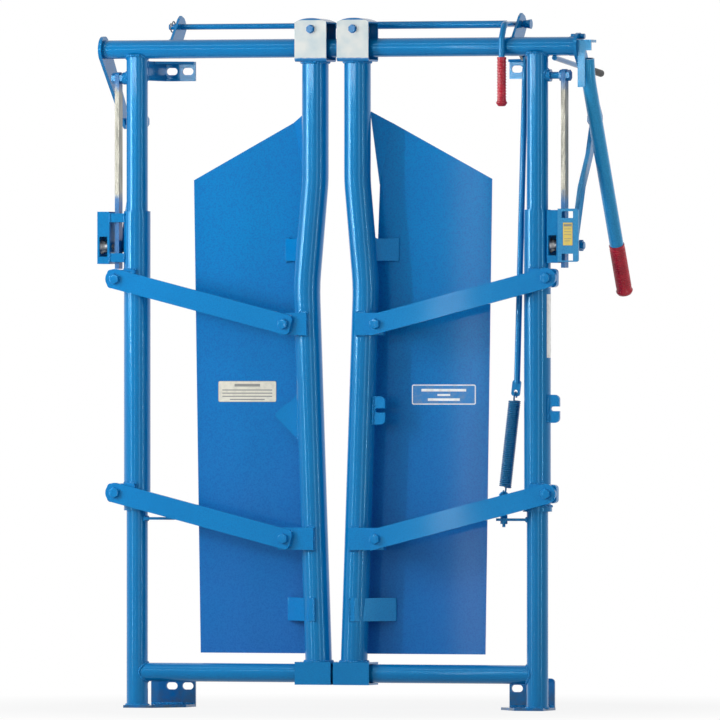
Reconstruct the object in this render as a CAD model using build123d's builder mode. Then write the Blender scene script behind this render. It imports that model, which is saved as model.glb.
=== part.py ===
from build123d import *
import math
import os

os.makedirs("parts", exist_ok=True)

# Datum: the origin lies on the rear mounting plane, midway between the two lower outer slots
slot_height = 47.0
mount_depth = 113.0
floor = -slot_height
tube_y = -mount_depth

# Frame tubes; the posts, and what they carry, keep their distance from the ends of the top rail
top_rail_reach = 551.0
post_inset = 76.0
post_x = top_rail_reach - post_inset
post_diameter = 48.3
post_wall = 3.7
rail_diameter = 42.2
rail_wall = 3.6
top_rail_height = 1485.0
bottom_rail_height = 80.5
saddle_lap = 7.0

# Feet and top brackets
plate_thickness = 6.0
foot_front = 30.0
foot_inner = post_x - 101
foot_outer = post_x + 23
foot_flange_outer = post_x + 5
foot_flange_height = 70.0
bracket_outer = post_x - 26
bracket_bottom = 1415.0
bracket_height = 44.0
inner_slot_x = post_x - 83
slot_pitch = 38.0
slot_length = 27.0
slot_width = 16.0

# Sleeves and their arm lugs
sleeve_diameter = 60.3
sleeve_clearance = 0.4
sleeve_bottom = 445.0
sleeve_length = 675.0
collar_height = 12.0
collar_diameter = 66.0
chain_lug_height = 63.0
chain_slot = 10.0
sleeve_chain_lug_height = 675.0
neck_chain_lug_height = 671.0
sleeve_pivot_x = post_x + 36
lug_face = 40.7
lug_thickness = 10.0

# Arms
arm_width = 45.0
arm_thickness = 10.0
arm_gap = 0.3
arm_rise = 102.0
upper_pivot_height = 967.0
lower_pivot_height = 485.0
door_pivot_x = 109.0
bolt_diameter = 16.0
bolt_head_diameter = 25.0
bolt_head_height = 9.0
bolt_clearance = 0.1

# Doors
neck_diameter = 60.3
neck_wall = 3.9
neck_top_x = 50.0
neck_bow_x = 70.5
neck_foot_x = 42.0
neck_straight_height = 1186.0
neck_bow_height = 950.0
neck_upper_bend = 420.0
neck_lower_bend = 520.0
panel_thickness = 3.4
panel_offset = 42.0
panel_bottom = 124.0
panel_corner_height = 1190.0
panel_top_x = post_x - 121
panel_bottom_x = post_x - 137
panel_lap = 10.0
crease_top = (116.0, 1318.0)
crease_foot = (89.0, 1179.0)
flange_tip_height = 1343.0
upper_tab_height = 1032.0
lower_tab_height = 224.0

# Hangers with their rollers, and slide boxes
hanger_width = 75.0
hanger_depth = 70.0
hanger_plate = 4.0
hanger_top = 67.0
hanger_bottom = 31.0
hanger_arch = 9.0
roller_axle_lift = 42.0
roller_gap = 0.3
roller_width = 50.0
axle_diameter = 12.0
slide_box_inner = 3.0
slide_box_width = 85.0
slide_box_depth = 66.0
slide_box_wall = 4.0
slide_box_clearance = 0.5

# Torsion shaft, crank plates, lift links
shaft_diameter = 28.0
bush_length = 30.0
bush_clearance = 0.05
crank_thickness = 7.5
crank_gap = 0.5
crank_pin_back = 150.0
crank_pin_drop = 160.0
hub_length = 16.0
hub_diameter = 44.0
clamp_bolt_diameter = 12.0
link_width = 26.0
link_thickness = 10.0
link_foot_back = 26.0
link_foot_height = 1040.0
left_link_x = post_x + 36
right_link_gap = 2.5
link_joggle = 8.0
link_joggle_low = 1172.0
link_joggle_high = 1245.0

# Hand lever
lever_diameter = 31.75
lever_wall = 3.0
lever_tilt = 28.0
lever_drop = 548.0
lever_grip_length = 122.0
lever_grip_diameter = 36.0

# Latch bars, lock boxes and the cover plate
latch_bar_width = 24.0
latch_bar_thickness = 10.0
latch_bolt_height = 1420.0
latch_bar_bottom = 990.0
left_latch_x = post_x + 39.5
right_latch_x = post_x + 59
lock_box_height = 118.0
lock_box_depth = 44.0
lock_box_wall = 3.5
lock_box_bottom = 1001.0
left_box_width = 29.0
left_box_x = post_x + 59
right_box_width = 26.0
right_box_x = post_x + 29
lock_window_width = 19.0
lock_window_height = 45.0
cam_diameter = 34.0
cover_width = 49.0
cover_thickness = 4.0
cover_face = 24.0

# Selector rod, its ears and its handle
selector_back = 75.0
selector_lift = 52.0
selector_diameter = 13.0
selector_pipe_diameter = 17.2
left_ear_x = post_x - 75
right_ear_x = post_x - 65
selector_handle_x = right_ear_x - 10
selector_bar_diameter = 13.5
selector_grip_length = 110.0
selector_grip_diameter = 22.0
clip_gap = 12.0
clip_radius = 12.0
clip_wire = 3.2

# Return spring, its rod and its brackets
wire = 5.2
coil_radius = 12.4
coil_pitch = 6.9
coil_turns = 28
hook_radius = 8.0
hook_rise = 6.0
eye_radius = 9.0
eye_wire = 7.0
eye_x = post_x - 79
eye_height = 478.0
spring_top_x = post_x - 52
spring_top_height = 713.0
spring_arm_reach = 40.0
spring_arm_angle = 36.7
spring_arm_x = post_x - 48
spring_rod_diameter = 14.0
spring_bracket_height = 430.0

# Stop rod with its bumper
stop_rod_x = post_x + 40
stop_rod_length = 335.0
stop_rod_drop = 28.0
stop_rod_diameter = 12.0
bumper_diameter = 16.0
bumper_length = 60.0

clip_x = -left_ear_x - clip_gap
top_z = floor + top_rail_height
bottom_z = floor + bottom_rail_height
rail_radius = rail_diameter / 2
sleeve_top = sleeve_bottom + sleeve_length


def save(part, name):
    """Label one finished piece and write it."""
    part.label = name
    export_step(part, f"parts/{name}.step")


def bar(start, end, diameter, mode=Mode.ADD):
    """Round bar between two points."""
    run = Vector(*end) - Vector(*start)
    with BuildSketch(Plane(start, z_dir=run)) as section:
        Circle(diameter / 2)
    extrude(section.sketch, amount=run.length, mode=mode)


def slab(x_span, y_span, z_span, mode=Mode.ADD):
    """Rectangular block given by its spans, in either order."""
    spans = [sorted(span) for span in (x_span, y_span, z_span)]
    middle = [sum(span) / 2 for span in spans]
    with Locations(tuple(middle)):
        Box(*[high - low for low, high in spans], mode=mode)


def front_plate(points, y_span, radius=0, mode=Mode.ADD):
    """Plate that faces the front, outlined in X and Z."""
    low, high = sorted(y_span)
    with BuildSketch(Plane.XZ.offset(-high)) as face:
        with BuildLine():
            Polyline(*points, close=True)
        make_face()
        if radius:
            fillet(face.vertices(), radius)
    extrude(face.sketch, amount=high - low, mode=mode)


def arched_block(x_span, y_span, z_span, drop, mode=Mode.ADD):
    """Block whose top is arched from side to side, falling by a drop at each end."""
    left, right = x_span
    low, high = z_span
    with BuildSketch(Plane.XZ.offset(-y_span[1])) as face:
        with BuildLine():
            rim = Polyline((right, high - drop), (right, low), (left, low), (left, high - drop))
            ThreePointArc(rim @ 1, ((left + right) / 2, high), rim @ 0)
        make_face()
    extrude(face.sketch, amount=y_span[1] - y_span[0], mode=mode)


def side_plate(points, x_span, radius=0, mode=Mode.ADD):
    """Plate that faces the side, outlined in Y and Z."""
    low, high = sorted(x_span)
    with BuildSketch(Plane.YZ.offset(low)) as face:
        with BuildLine():
            Polyline(*points, close=True)
        make_face()
        if radius:
            fillet(face.vertices(), radius)
    extrude(face.sketch, amount=high - low, mode=mode)


def flat_plate(points, z_span, radius=0, mode=Mode.ADD):
    """Level plate, outlined in X and Y."""
    low, high = sorted(z_span)
    with BuildSketch(Plane.XY.offset(low)) as face:
        with BuildLine():
            Polyline(*points, close=True)
        make_face()
        if radius:
            fillet(face.vertices(), radius)
    extrude(face.sketch, amount=high - low, mode=mode)


def side_link(first, second, first_radius, second_radius, x_span):
    """Rounded link that faces the side, around two points given by Y and Z."""
    low, high = sorted(x_span)
    with BuildSketch(Plane.YZ.offset(low)) as face:
        with Locations(first):
            Circle(first_radius)
        with Locations(second):
            Circle(second_radius)
        make_hull()
    extrude(face.sketch, amount=high - low)


def hex_head(centre, direction, diameter, height):
    """Hexagon head standing on a point, along a direction."""
    with BuildSketch(Plane(centre, z_dir=direction)) as head:
        RegularPolygon(diameter / 2, 6)
    extrude(head.sketch, amount=height)


def grip_body(start, direction, length, diameter):
    """Round grip with a waist and a flared end."""
    axis = Axis(start, direction)
    frame = Plane(start, z_dir=direction)
    radius = diameter / 2
    with BuildSketch(Plane(start, x_dir=frame.x_dir, z_dir=-frame.y_dir)) as profile:
        with BuildLine():
            Polyline((0, 0), (radius - 3, 0), (radius - 1, 3), (radius - 1.5, 0.3 * length),
                     (radius - 0.5, 0.85 * length), (radius + 1.5, length - 8),
                     (radius + 1.5, length - 3), (radius - 1, length), (0, length), close=True)
        make_face()
    revolve(profile.sketch, axis=axis)


# Top rail, slotted at the back for the arm that pulls the spring rod
with BuildPart() as top_rail:
    bar((-top_rail_reach, tube_y, top_z), (top_rail_reach, tube_y, top_z), rail_diameter)
    bar((-top_rail_reach, tube_y, top_z), (top_rail_reach, tube_y, top_z),
        rail_diameter - 2 * rail_wall, mode=Mode.SUBTRACT)
    slab((spring_arm_x - 2, spring_arm_x + 8), (tube_y + 4, tube_y + rail_diameter),
         (top_z - 32, top_z + 32), mode=Mode.SUBTRACT)
save(top_rail.part, "top_rail")

with BuildPart() as bottom_rail:
    bar((-post_x, tube_y, bottom_z), (post_x, tube_y, bottom_z), rail_diameter)
    for side in (-1, 1):
        bar((side * post_x, tube_y, floor), (side * post_x, tube_y, floor + 2 * bottom_rail_height),
            post_diameter, mode=Mode.SUBTRACT)
    bar((-post_x, tube_y, bottom_z), (post_x, tube_y, bottom_z),
        rail_diameter - 2 * rail_wall, mode=Mode.SUBTRACT)
save(bottom_rail.part, "bottom_rail")

post_base = floor + plate_thickness


def mounting_slots(side, height):
    """Cut the two mounting slots of one flange."""
    with BuildSketch(Plane.XZ.offset(2 * plate_thickness)) as holes:
        with Locations((side * inner_slot_x, height), (side * (inner_slot_x + slot_pitch), height)):
            SlotOverall(slot_length, slot_width)
    extrude(holes.sketch, amount=-4 * plate_thickness, mode=Mode.SUBTRACT)


for name, side in (("left", -1), ("right", 1)):
    x = side * post_x
    with BuildPart() as post:
        bar((x, tube_y, post_base), (x, tube_y, top_z - rail_radius + saddle_lap), post_diameter)
        bar((x, tube_y, post_base), (x, tube_y, top_z), post_diameter - 2 * post_wall,
            mode=Mode.SUBTRACT)
        bar((x - post_diameter, tube_y, top_z), (x + post_diameter, tube_y, top_z),
            rail_diameter, mode=Mode.SUBTRACT)
    save(post.part, f"{name}_post")

# Feet: a floor plate under each post with an upright slotted flange at the back
with BuildPart() as feet:
    for side in (-1, 1):
        flat_plate([(side * (foot_inner + 56), tube_y - foot_front),
                    (side * foot_outer, tube_y - foot_front),
                    (side * foot_outer, tube_y + 60),
                    (side * foot_flange_outer, -plate_thickness),
                    (side * foot_inner, -plate_thickness),
                    (side * foot_inner, tube_y + 46)], (floor, post_base))
        slab((side * foot_inner, side * foot_flange_outer), (-plate_thickness, 0),
             (floor, floor + foot_flange_height))
        mounting_slots(side, 0)
    fillet(feet.edges().filter_by(Axis.Y).group_by(Axis.Z)[-1], 9)
save(feet.part, "feet")

# Top brackets: a gusset and a top plate run back from each post to a slotted flange
with BuildPart() as top_brackets:
    z_low = floor + bracket_bottom
    z_high = z_low + bracket_height
    for side in (-1, 1):
        slab((side * foot_inner, side * bracket_outer), (-plate_thickness, 0), (z_low, z_high))
        flat_plate([(side * (post_x - 17), tube_y + 8), (side * (post_x - 11), tube_y + 14),
                    (side * bracket_outer, -plate_thickness),
                    (side * (bracket_outer - plate_thickness), -plate_thickness)],
                   (z_low, z_high))
        flat_plate([(side * (bracket_outer + 2), tube_y + 50), (side * foot_inner, tube_y + 98),
                    (side * foot_inner, -plate_thickness), (side * bracket_outer, -plate_thickness)],
                   (z_high - plate_thickness, z_high))
        mounting_slots(side, z_low + bracket_height / 2)
        bar((side * post_x, tube_y, z_low - 10), (side * post_x, tube_y, z_high + 10),
            post_diameter, mode=Mode.SUBTRACT)
save(top_brackets.part, "top_brackets")

# Ears on the top rail that carry the selector rod
selector_y = tube_y + selector_back
selector_z = top_z + selector_lift
ear_outline = [(5, 17), (60, 70), (73, 77), (92, 71), (104, 58), (104, 45), (81, 19), (40, -6),
               (14, -14)]
with BuildPart() as rod_ears:
    for ear_x in (-left_ear_x, right_ear_x):
        side_plate([(tube_y + back, top_z + lift) for back, lift in ear_outline],
                   (ear_x, ear_x + plate_thickness))
    bar((-top_rail_reach, tube_y, top_z), (top_rail_reach, tube_y, top_z), rail_diameter,
        mode=Mode.SUBTRACT)
    bar((-top_rail_reach, selector_y, selector_z), (top_rail_reach, selector_y, selector_z),
        selector_diameter + 2 * bolt_clearance, mode=Mode.SUBTRACT)
save(rod_ears.part, "rod_ears")

# Latch bars hang on bolts through bosses on the posts
latch_z = floor + latch_bolt_height
latch_ends = {"left": (-left_latch_x - latch_bar_thickness, -left_latch_x),
              "right": (right_latch_x, right_latch_x + latch_bar_thickness)}
with BuildPart() as latch_bars:
    for span in latch_ends.values():
        slab(span, (tube_y - latch_bar_width / 2, tube_y + latch_bar_width / 2),
             (floor + latch_bar_bottom, latch_z + 14))
        bar((span[0], tube_y, latch_z), (span[1], tube_y, latch_z),
            bolt_diameter + 2 * bolt_clearance, mode=Mode.SUBTRACT)
    fillet(latch_bars.edges().filter_by(Axis.X).group_by(Axis.Z)[-1], 8)
save(latch_bars.part, "latch_bars")

with BuildPart() as latch_bolts:
    for name, side in (("left", -1), ("right", 1)):
        outer_face = max(abs(face) for face in latch_ends[name])
        inner_face = min(abs(face) for face in latch_ends[name])
        bar((side * (post_x + 20), tube_y, latch_z), (side * (outer_face + 6), tube_y, latch_z),
            bolt_diameter)
        bar((side * (post_x + 20), tube_y, latch_z), (side * (post_x + 32), tube_y, latch_z), 28)
        hex_head((side * (outer_face + arm_gap), tube_y, latch_z), (side, 0, 0),
                 bolt_head_diameter, bolt_head_height)
        hex_head((side * (inner_face - arm_gap - 6), tube_y, latch_z), (side, 0, 0),
                 bolt_head_diameter, 6)
        bar((side * post_x, tube_y, latch_z - 40), (side * post_x, tube_y, latch_z + 40),
            post_diameter, mode=Mode.SUBTRACT)
save(latch_bolts.part, "latch_bolts")

# Spring brackets on both posts; the right one holds the eye bolt
bracket_z = floor + spring_bracket_height
with BuildPart() as spring_brackets:
    for side in (-1, 1):
        slab((side * (eye_x - 14), side * post_x), (tube_y - 14, tube_y + 14),
             (bracket_z - plate_thickness, bracket_z))
        bar((side * post_x, tube_y, bracket_z - 20), (side * post_x, tube_y, bracket_z + 20),
            post_diameter, mode=Mode.SUBTRACT)
    bar((eye_x, tube_y, bracket_z - 20), (eye_x, tube_y, bracket_z + 20),
        eye_wire + 2 * bolt_clearance, mode=Mode.SUBTRACT)
save(spring_brackets.part, "spring_brackets")

eye_z = floor + eye_height
with BuildPart() as eye_bolt:
    bar((eye_x, tube_y, bracket_z - 20), (eye_x, tube_y, eye_z - eye_radius), eye_wire)
    with Locations(Location((eye_x, tube_y, eye_z), (90, 0, 0))):
        Torus(eye_radius, eye_wire / 2)
    hex_head((eye_x, tube_y, bracket_z), (0, 0, 1), 17, 7)
    hex_head((eye_x, tube_y, bracket_z - plate_thickness), (0, 0, -1), 17, 7)
save(eye_bolt.part, "eye_bolt")

# Bushes in the ends of the top rail
with BuildPart() as shaft_bushes:
    for side in (-1, 1):
        outer = side * top_rail_reach
        inner = side * (top_rail_reach - bush_length)
        bar((inner, tube_y, top_z), (outer, tube_y, top_z), rail_diameter - 2 * rail_wall)
    bar((-top_rail_reach, tube_y, top_z), (top_rail_reach, tube_y, top_z),
        shaft_diameter + 2 * bush_clearance, mode=Mode.SUBTRACT)
save(shaft_bushes.part, "shaft_bushes")

# Stop rod under the top rail, running back to a bumper
stop_start = (stop_rod_x, tube_y, top_z - rail_radius - stop_rod_diameter / 2 + 1.5)
stop_end = (stop_rod_x, tube_y + stop_rod_length, stop_start[2] - stop_rod_drop)
stop_run = (Vector(*stop_end) - Vector(*stop_start)).normalized()
bumper_start = Vector(*stop_end) - stop_run * bumper_length
bumper_end = Vector(*stop_end) + stop_run * 4
with BuildPart() as stop_rod:
    bar(stop_start, stop_end, stop_rod_diameter)
    bar((-top_rail_reach, tube_y, top_z), (top_rail_reach, tube_y, top_z), rail_diameter,
        mode=Mode.SUBTRACT)
save(stop_rod.part, "stop_rod")

with BuildPart() as bumper:
    bar(bumper_start, bumper_end, bumper_diameter)
    bar(stop_start, stop_end, stop_rod_diameter, mode=Mode.SUBTRACT)
save(bumper.part, "bumper")

# Torsion shaft with the arm that pulls the spring rod
crank_outer = top_rail_reach + crank_gap + crank_thickness
right_crank_inner = top_rail_reach + crank_gap + hub_length
right_crank_outer = right_crank_inner + crank_thickness
right_link_x = right_crank_inner - right_link_gap - link_thickness
right_foot_x = right_link_x - link_joggle
arm_tip = (tube_y + spring_arm_reach * math.cos(math.radians(spring_arm_angle)),
           top_z - spring_arm_reach * math.sin(math.radians(spring_arm_angle)))
with BuildPart() as torsion_shaft:
    bar((-crank_outer - 4, tube_y, top_z), (right_crank_outer + 4, tube_y, top_z), shaft_diameter)
    side_link((tube_y, top_z), arm_tip, 9, 7, (spring_arm_x, spring_arm_x + plate_thickness))
save(torsion_shaft.part, "torsion_shaft")

clamp_bolt = (tube_y + 4, top_z + shaft_diameter / 2 + 8)
crank_pin = (tube_y + crank_pin_back, top_z - crank_pin_drop)
crank_spans = {"left": (-crank_outer, -crank_outer + crank_thickness),
               "right": (right_crank_inner, right_crank_outer)}
hub_start = top_rail_reach + crank_gap
for name, span in crank_spans.items():
    with BuildPart() as crank:
        side_link((tube_y, top_z), crank_pin, 30, 17, span)
        if name == "right":
            bar((hub_start, tube_y, top_z), (right_crank_inner, tube_y, top_z), hub_diameter)
        bar((-crank_outer, tube_y, top_z), (right_crank_outer, tube_y, top_z), shaft_diameter,
            mode=Mode.SUBTRACT)
        bar((hub_start, *clamp_bolt), (right_crank_outer, *clamp_bolt), clamp_bolt_diameter,
            mode=Mode.SUBTRACT)
    save(crank.part, f"{name}_crank")

with BuildPart() as clamp_bolt_part:
    bar((hub_start + 2, *clamp_bolt), (right_crank_outer + 10, *clamp_bolt), clamp_bolt_diameter)
save(clamp_bolt_part.part, "clamp_bolt")

# Hand lever: a bent tube behind its bracket, with a grip on its end
lever_radius = lever_diameter / 2
lever_x = right_crank_outer + lever_radius
lever_end = (lever_x, tube_y + 10 + lever_drop * math.tan(math.radians(lever_tilt)) * 0.92,
             top_z - lever_drop)
lever_path = [(lever_x, tube_y + 4, top_z - 28), (lever_x, tube_y + 12, top_z - 74), lever_end]
lever_dir = (Vector(*lever_path[2]) - Vector(*lever_path[1])).normalized()
with BuildPart() as hand_lever:
    with BuildLine() as lever_line:
        FilletPolyline(*lever_path, radius=110)
    with BuildSketch(Plane(lever_path[0], z_dir=Vector(*lever_path[1]) - Vector(*lever_path[0]))):
        Circle(lever_radius)
        Circle(lever_radius - lever_wall, mode=Mode.SUBTRACT)
    sweep()
save(hand_lever.part, "hand_lever")

grip_start = Vector(*lever_end) - lever_dir * lever_grip_length
with BuildPart() as lever_grip:
    grip_body(grip_start, lever_dir, lever_grip_length + 4, lever_grip_diameter)
    bar(grip_start - lever_dir * 20, lever_end, lever_diameter + 0.1, mode=Mode.SUBTRACT)
save(lever_grip.part, "lever_grip")

with BuildPart() as lever_bracket:
    face = tube_y + 4 - lever_radius
    front_span = (face - plate_thickness, face)
    slab((right_crank_outer, right_crank_outer + 17), front_span, (top_z - 92, top_z - 10))
    slab((right_crank_outer, right_crank_outer + 31), front_span, (top_z - 10, top_z + 14))
    slab((right_crank_outer, right_crank_outer + 31), (face, tube_y + 22), (top_z + 8, top_z + 14))
    bar((right_crank_outer, tube_y, top_z), (right_crank_outer + 9, tube_y, top_z), shaft_diameter,
        mode=Mode.SUBTRACT)
save(lever_bracket.part, "lever_bracket")


def chain_lug(left_x, right_x, slot_x, middle_z):
    """Rounded lug with a slot that opens to the right."""
    half = chain_lug_height / 2
    front_plate([(left_x, middle_z - half), (right_x, middle_z - half),
                 (right_x, middle_z + half), (left_x, middle_z + half)],
                (tube_y - 12, tube_y - 4), radius=11)
    slab((slot_x, right_x + 2), (tube_y - 14, tube_y - 2),
         (middle_z - chain_slot / 2, middle_z + chain_slot / 2), mode=Mode.SUBTRACT)
    with Locations((slot_x, tube_y - 8, middle_z)):
        Cylinder(chain_slot / 2, 12, rotation=(90, 0, 0), mode=Mode.SUBTRACT)


# Sleeves that slide on the posts
sleeve_bore = post_diameter + 2 * sleeve_clearance
pivot_heights = {"upper": floor + upper_pivot_height, "lower": floor + lower_pivot_height}
link_foot = (tube_y + link_foot_back, floor + link_foot_height)
for name, side in (("left", -1), ("right", 1)):
    x = side * post_x
    sleeve_axis = ((x, tube_y, floor + sleeve_bottom), (x, tube_y, floor + sleeve_top))
    with BuildPart() as sleeve:
        bar(*sleeve_axis, sleeve_diameter)
        if name == "right":
            bar(sleeve_axis[0], (x, tube_y, floor + sleeve_bottom + collar_height), collar_diameter)
        bar(*sleeve_axis, sleeve_bore, mode=Mode.SUBTRACT)
    save(sleeve.part, f"{name}_sleeve")

    with BuildPart() as sleeve_lugs:
        for pivot_z in pivot_heights.values():
            slab((x - side * 8, side * (sleeve_pivot_x + 22)),
                 (tube_y - lug_face, tube_y - lug_face + lug_thickness + 6),
                 (pivot_z - 21, pivot_z + 21))
        outer_corners = sleeve_lugs.edges().filter_by(Axis.Y).sort_by(Axis.X)
        fillet(outer_corners[-4:] if name == "right" else outer_corners[:4], 9)
        if name == "right":
            chain_lug(post_x + 18, post_x + 55, post_x + 40, floor + sleeve_chain_lug_height)
        bar(*sleeve_axis, sleeve_diameter, mode=Mode.SUBTRACT)
        for pivot_z in pivot_heights.values():
            bar((side * sleeve_pivot_x, tube_y - lug_face, pivot_z),
                (side * sleeve_pivot_x, tube_y, pivot_z),
                bolt_diameter + 2 * bolt_clearance, mode=Mode.SUBTRACT)
    save(sleeve_lugs.part, f"{name}_sleeve_lugs")

# Lock boxes beside the sleeves, with a window in the front and a cam inside
box_low = floor + lock_box_bottom
box_high = box_low + lock_box_height
window_z = box_low + 39
box_spans = {"left": (-left_box_x - left_box_width, -left_box_x),
             "right": (right_box_x, right_box_x + right_box_width)}
half_depth = lock_box_depth / 2
for name, side in (("left", -1), ("right", 1)):
    low_x, high_x = box_spans[name]
    mid_x = (low_x + high_x) / 2
    with BuildPart() as lock_box:
        slab((low_x, high_x), (tube_y - half_depth, tube_y + half_depth), (box_low, box_high))
        slab((low_x + lock_box_wall, high_x - lock_box_wall),
             (tube_y - half_depth + lock_box_wall, tube_y + half_depth - lock_box_wall),
             (box_low - 1, box_high + 1), mode=Mode.SUBTRACT)
        slab((mid_x - lock_window_width / 2, mid_x + lock_window_width / 2),
             (tube_y - half_depth - 1, tube_y - 10),
             (window_z - lock_window_height / 2, window_z + lock_window_height / 2),
             mode=Mode.SUBTRACT)
        bar((low_x - 5, tube_y, window_z), (high_x + 5, tube_y, window_z), axle_diameter,
            mode=Mode.SUBTRACT)
        if name == "left":
            for strap_z in (box_low + 4, box_high - 24):
                for strap_y in (-half_depth, half_depth - plate_thickness):
                    slab((high_x, -post_x), (tube_y + strap_y, tube_y + strap_y + plate_thickness),
                         (strap_z, strap_z + 20))
            slab((-left_link_x + arm_gap, -post_x), (tube_y + 12, tube_y + 38.5),
                 (link_foot[1] - 15, link_foot[1] + 15))
        else:
            slab((high_x, right_foot_x - arm_gap), (tube_y + 14, tube_y + 38.5),
                 (link_foot[1] - 15, link_foot[1] + 15))
        bar((side * post_x, tube_y, box_low - 10), (side * post_x, tube_y, box_high + 10),
            sleeve_diameter, mode=Mode.SUBTRACT)
        bar((side * (post_x + 20), *link_foot), (side * crank_outer, *link_foot),
            bolt_diameter + 2 * bolt_clearance, mode=Mode.SUBTRACT)
    save(lock_box.part, f"{name}_lock_box")

    cam_half = (high_x - low_x) / 2 - lock_box_wall - arm_gap
    with BuildPart() as lock_cam:
        with BuildSketch(Plane.XY.offset(window_z)) as cam_section:
            with BuildLine():
                rim = Line((mid_x - cam_half, tube_y), (mid_x - cam_half, tube_y + cam_diameter / 2))
                ThreePointArc(rim @ 1, (mid_x, tube_y + cam_diameter / 2 - 5),
                              (mid_x + cam_half, tube_y + cam_diameter / 2))
                Line((mid_x + cam_half, tube_y + cam_diameter / 2), (mid_x + cam_half, tube_y))
                Line((mid_x + cam_half, tube_y), rim @ 0)
            make_face()
        revolve(axis=Axis((mid_x, tube_y, window_z), (1, 0, 0)))
        bar((low_x - 3, tube_y, window_z), (high_x + 1.2 * (name == "left"), tube_y, window_z),
            axle_diameter - 0.2)
        bar((side * post_x, tube_y, box_low), (side * post_x, tube_y, box_high),
            sleeve_diameter + 0.6, mode=Mode.SUBTRACT)
    save(lock_cam.part, f"{name}_lock_cam")

with BuildPart() as lock_cover:
    cover_left = box_spans["right"][1]
    cover_span = (tube_y - cover_face, tube_y - cover_face + cover_thickness)
    slab((cover_left, cover_left + cover_width), cover_span, (box_low + 2, box_high + 3))
    slab((cover_left, cover_left + 6), (tube_y - cover_face, tube_y - 14), (box_low + 2, box_high + 3))
    for window_low in (box_low + 5, box_high - 18):
        slab((cover_left + 9, cover_left + 36), (tube_y - cover_face - 1, tube_y - 18),
             (window_low, window_low + 15), mode=Mode.SUBTRACT)
    fillet(lock_cover.edges().filter_by(Axis.Y).group_by(Axis.X)[-1], 5)
save(lock_cover.part, "lock_cover")

# Lift links between the crank plates and the sleeves, each with its two bolts
link_spans = {"left": (-left_link_x - link_thickness, -left_link_x),
              "right": (right_foot_x, right_link_x + link_thickness)}
joggle_low = floor + link_joggle_low
joggle_high = floor + link_joggle_high
joggle_outline = [(right_foot_x, bottom_z), (right_foot_x, joggle_low), (right_link_x, joggle_high),
                  (right_link_x, top_z), (right_link_x + link_thickness, top_z),
                  (right_link_x + link_thickness, joggle_high),
                  (right_foot_x + link_thickness, joggle_low), (right_foot_x + link_thickness, bottom_z)]
for name, side in (("left", -1), ("right", 1)):
    with BuildPart() as link:
        side_link(link_foot, crank_pin, link_width / 2, link_width / 2, link_spans[name])
        if name == "right":
            front_plate(joggle_outline, (tube_y, tube_y + crank_pin_back + link_width),
                        mode=Mode.INTERSECT)
        for pivot in (link_foot, crank_pin):
            bar((link_spans[name][0] - 1, *pivot), (link_spans[name][1] + 1, *pivot), bolt_diameter,
                mode=Mode.SUBTRACT)
    save(link.part, f"{name}_lift_link")

with BuildPart() as left_link_bolts:
    bar((-left_link_x - link_thickness - 2, *link_foot), (-post_x - 27, *link_foot), bolt_diameter)
    hex_head((-left_link_x - link_thickness, *link_foot), (-1, 0, 0), bolt_head_diameter, 8)
    bar((-left_link_x + 2, *crank_pin), (-crank_outer + crank_thickness + arm_gap, *crank_pin),
        bolt_diameter)
    hex_head((-left_link_x, *crank_pin), (1, 0, 0), bolt_head_diameter, 8)
save(left_link_bolts.part, "left_link_bolts")

with BuildPart() as right_link_bolts:
    foot_end = right_foot_x + link_thickness
    bar((right_box_x + right_box_width + 1, *link_foot), (foot_end + 20, *link_foot), bolt_diameter)
    hex_head((foot_end + 8, *link_foot), (1, 0, 0), bolt_head_diameter, bolt_head_height)
    bar((right_link_x - 2, *crank_pin), (right_crank_inner - arm_gap, *crank_pin), bolt_diameter)
    hex_head((right_link_x, *crank_pin), (-1, 0, 0), bolt_head_diameter, 8)
save(right_link_bolts.part, "right_link_bolts")

# Flat arms from the sleeves to the doors, each with its two bolts
arm_back = tube_y - lug_face - arm_gap
arm_front = arm_back - arm_thickness
arm_run = sleeve_pivot_x - door_pivot_x
arm_length = math.hypot(arm_run, arm_rise)
for name, side in (("left", -1), ("right", 1)):
    for level, pivot_z in pivot_heights.items():
        outer = (side * sleeve_pivot_x, arm_back, pivot_z)
        along = Vector(-side * arm_run, 0, -arm_rise)
        arm_plane = Plane(outer, x_dir=along, z_dir=(0, -1, 0))
        with BuildPart() as arm:
            with BuildSketch(arm_plane) as arm_face:
                Circle(arm_width / 2)
                with Locations((arm_length / 2 + 9, 0)):
                    Rectangle(arm_length + 18, arm_width)
                fillet(arm_face.vertices().sort_by(Axis(outer, along))[-2:], 12)
                with Locations((0, 0), (arm_length, 0)):
                    Circle(bolt_diameter / 2 + bolt_clearance, mode=Mode.SUBTRACT)
            extrude(amount=arm_thickness)
        save(arm.part, f"{name}_{level}_arm")

        with BuildPart() as arm_bolts:
            inner = (side * door_pivot_x, arm_back, pivot_z - arm_rise)
            bar((outer[0], arm_front - 2, outer[2]), (outer[0], arm_back + 11, outer[2]),
                bolt_diameter)
            bar((inner[0], arm_front - 2, inner[2]), inner, bolt_diameter)
            for centre in (outer, inner):
                hex_head((centre[0], arm_front, centre[2]), (0, -1, 0), bolt_head_diameter,
                         bolt_head_height)
        save(arm_bolts.part, f"{name}_{level}_arm_bolts")

# Doors
hanger_half = hanger_depth / 2
axle_z = top_z + roller_axle_lift
roller_radius = roller_axle_lift - rail_radius - roller_gap
slide_top = bottom_z + rail_radius + slide_box_clearance + slide_box_wall
slide_low = bottom_z - rail_radius - slide_box_clearance - slide_box_wall
neck_top = top_z - hanger_bottom
hook_outline = [(80, 716), (90, 716), (108, 693), (131, 678), (149, 660), (91, 604), (80, 604)]


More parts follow.
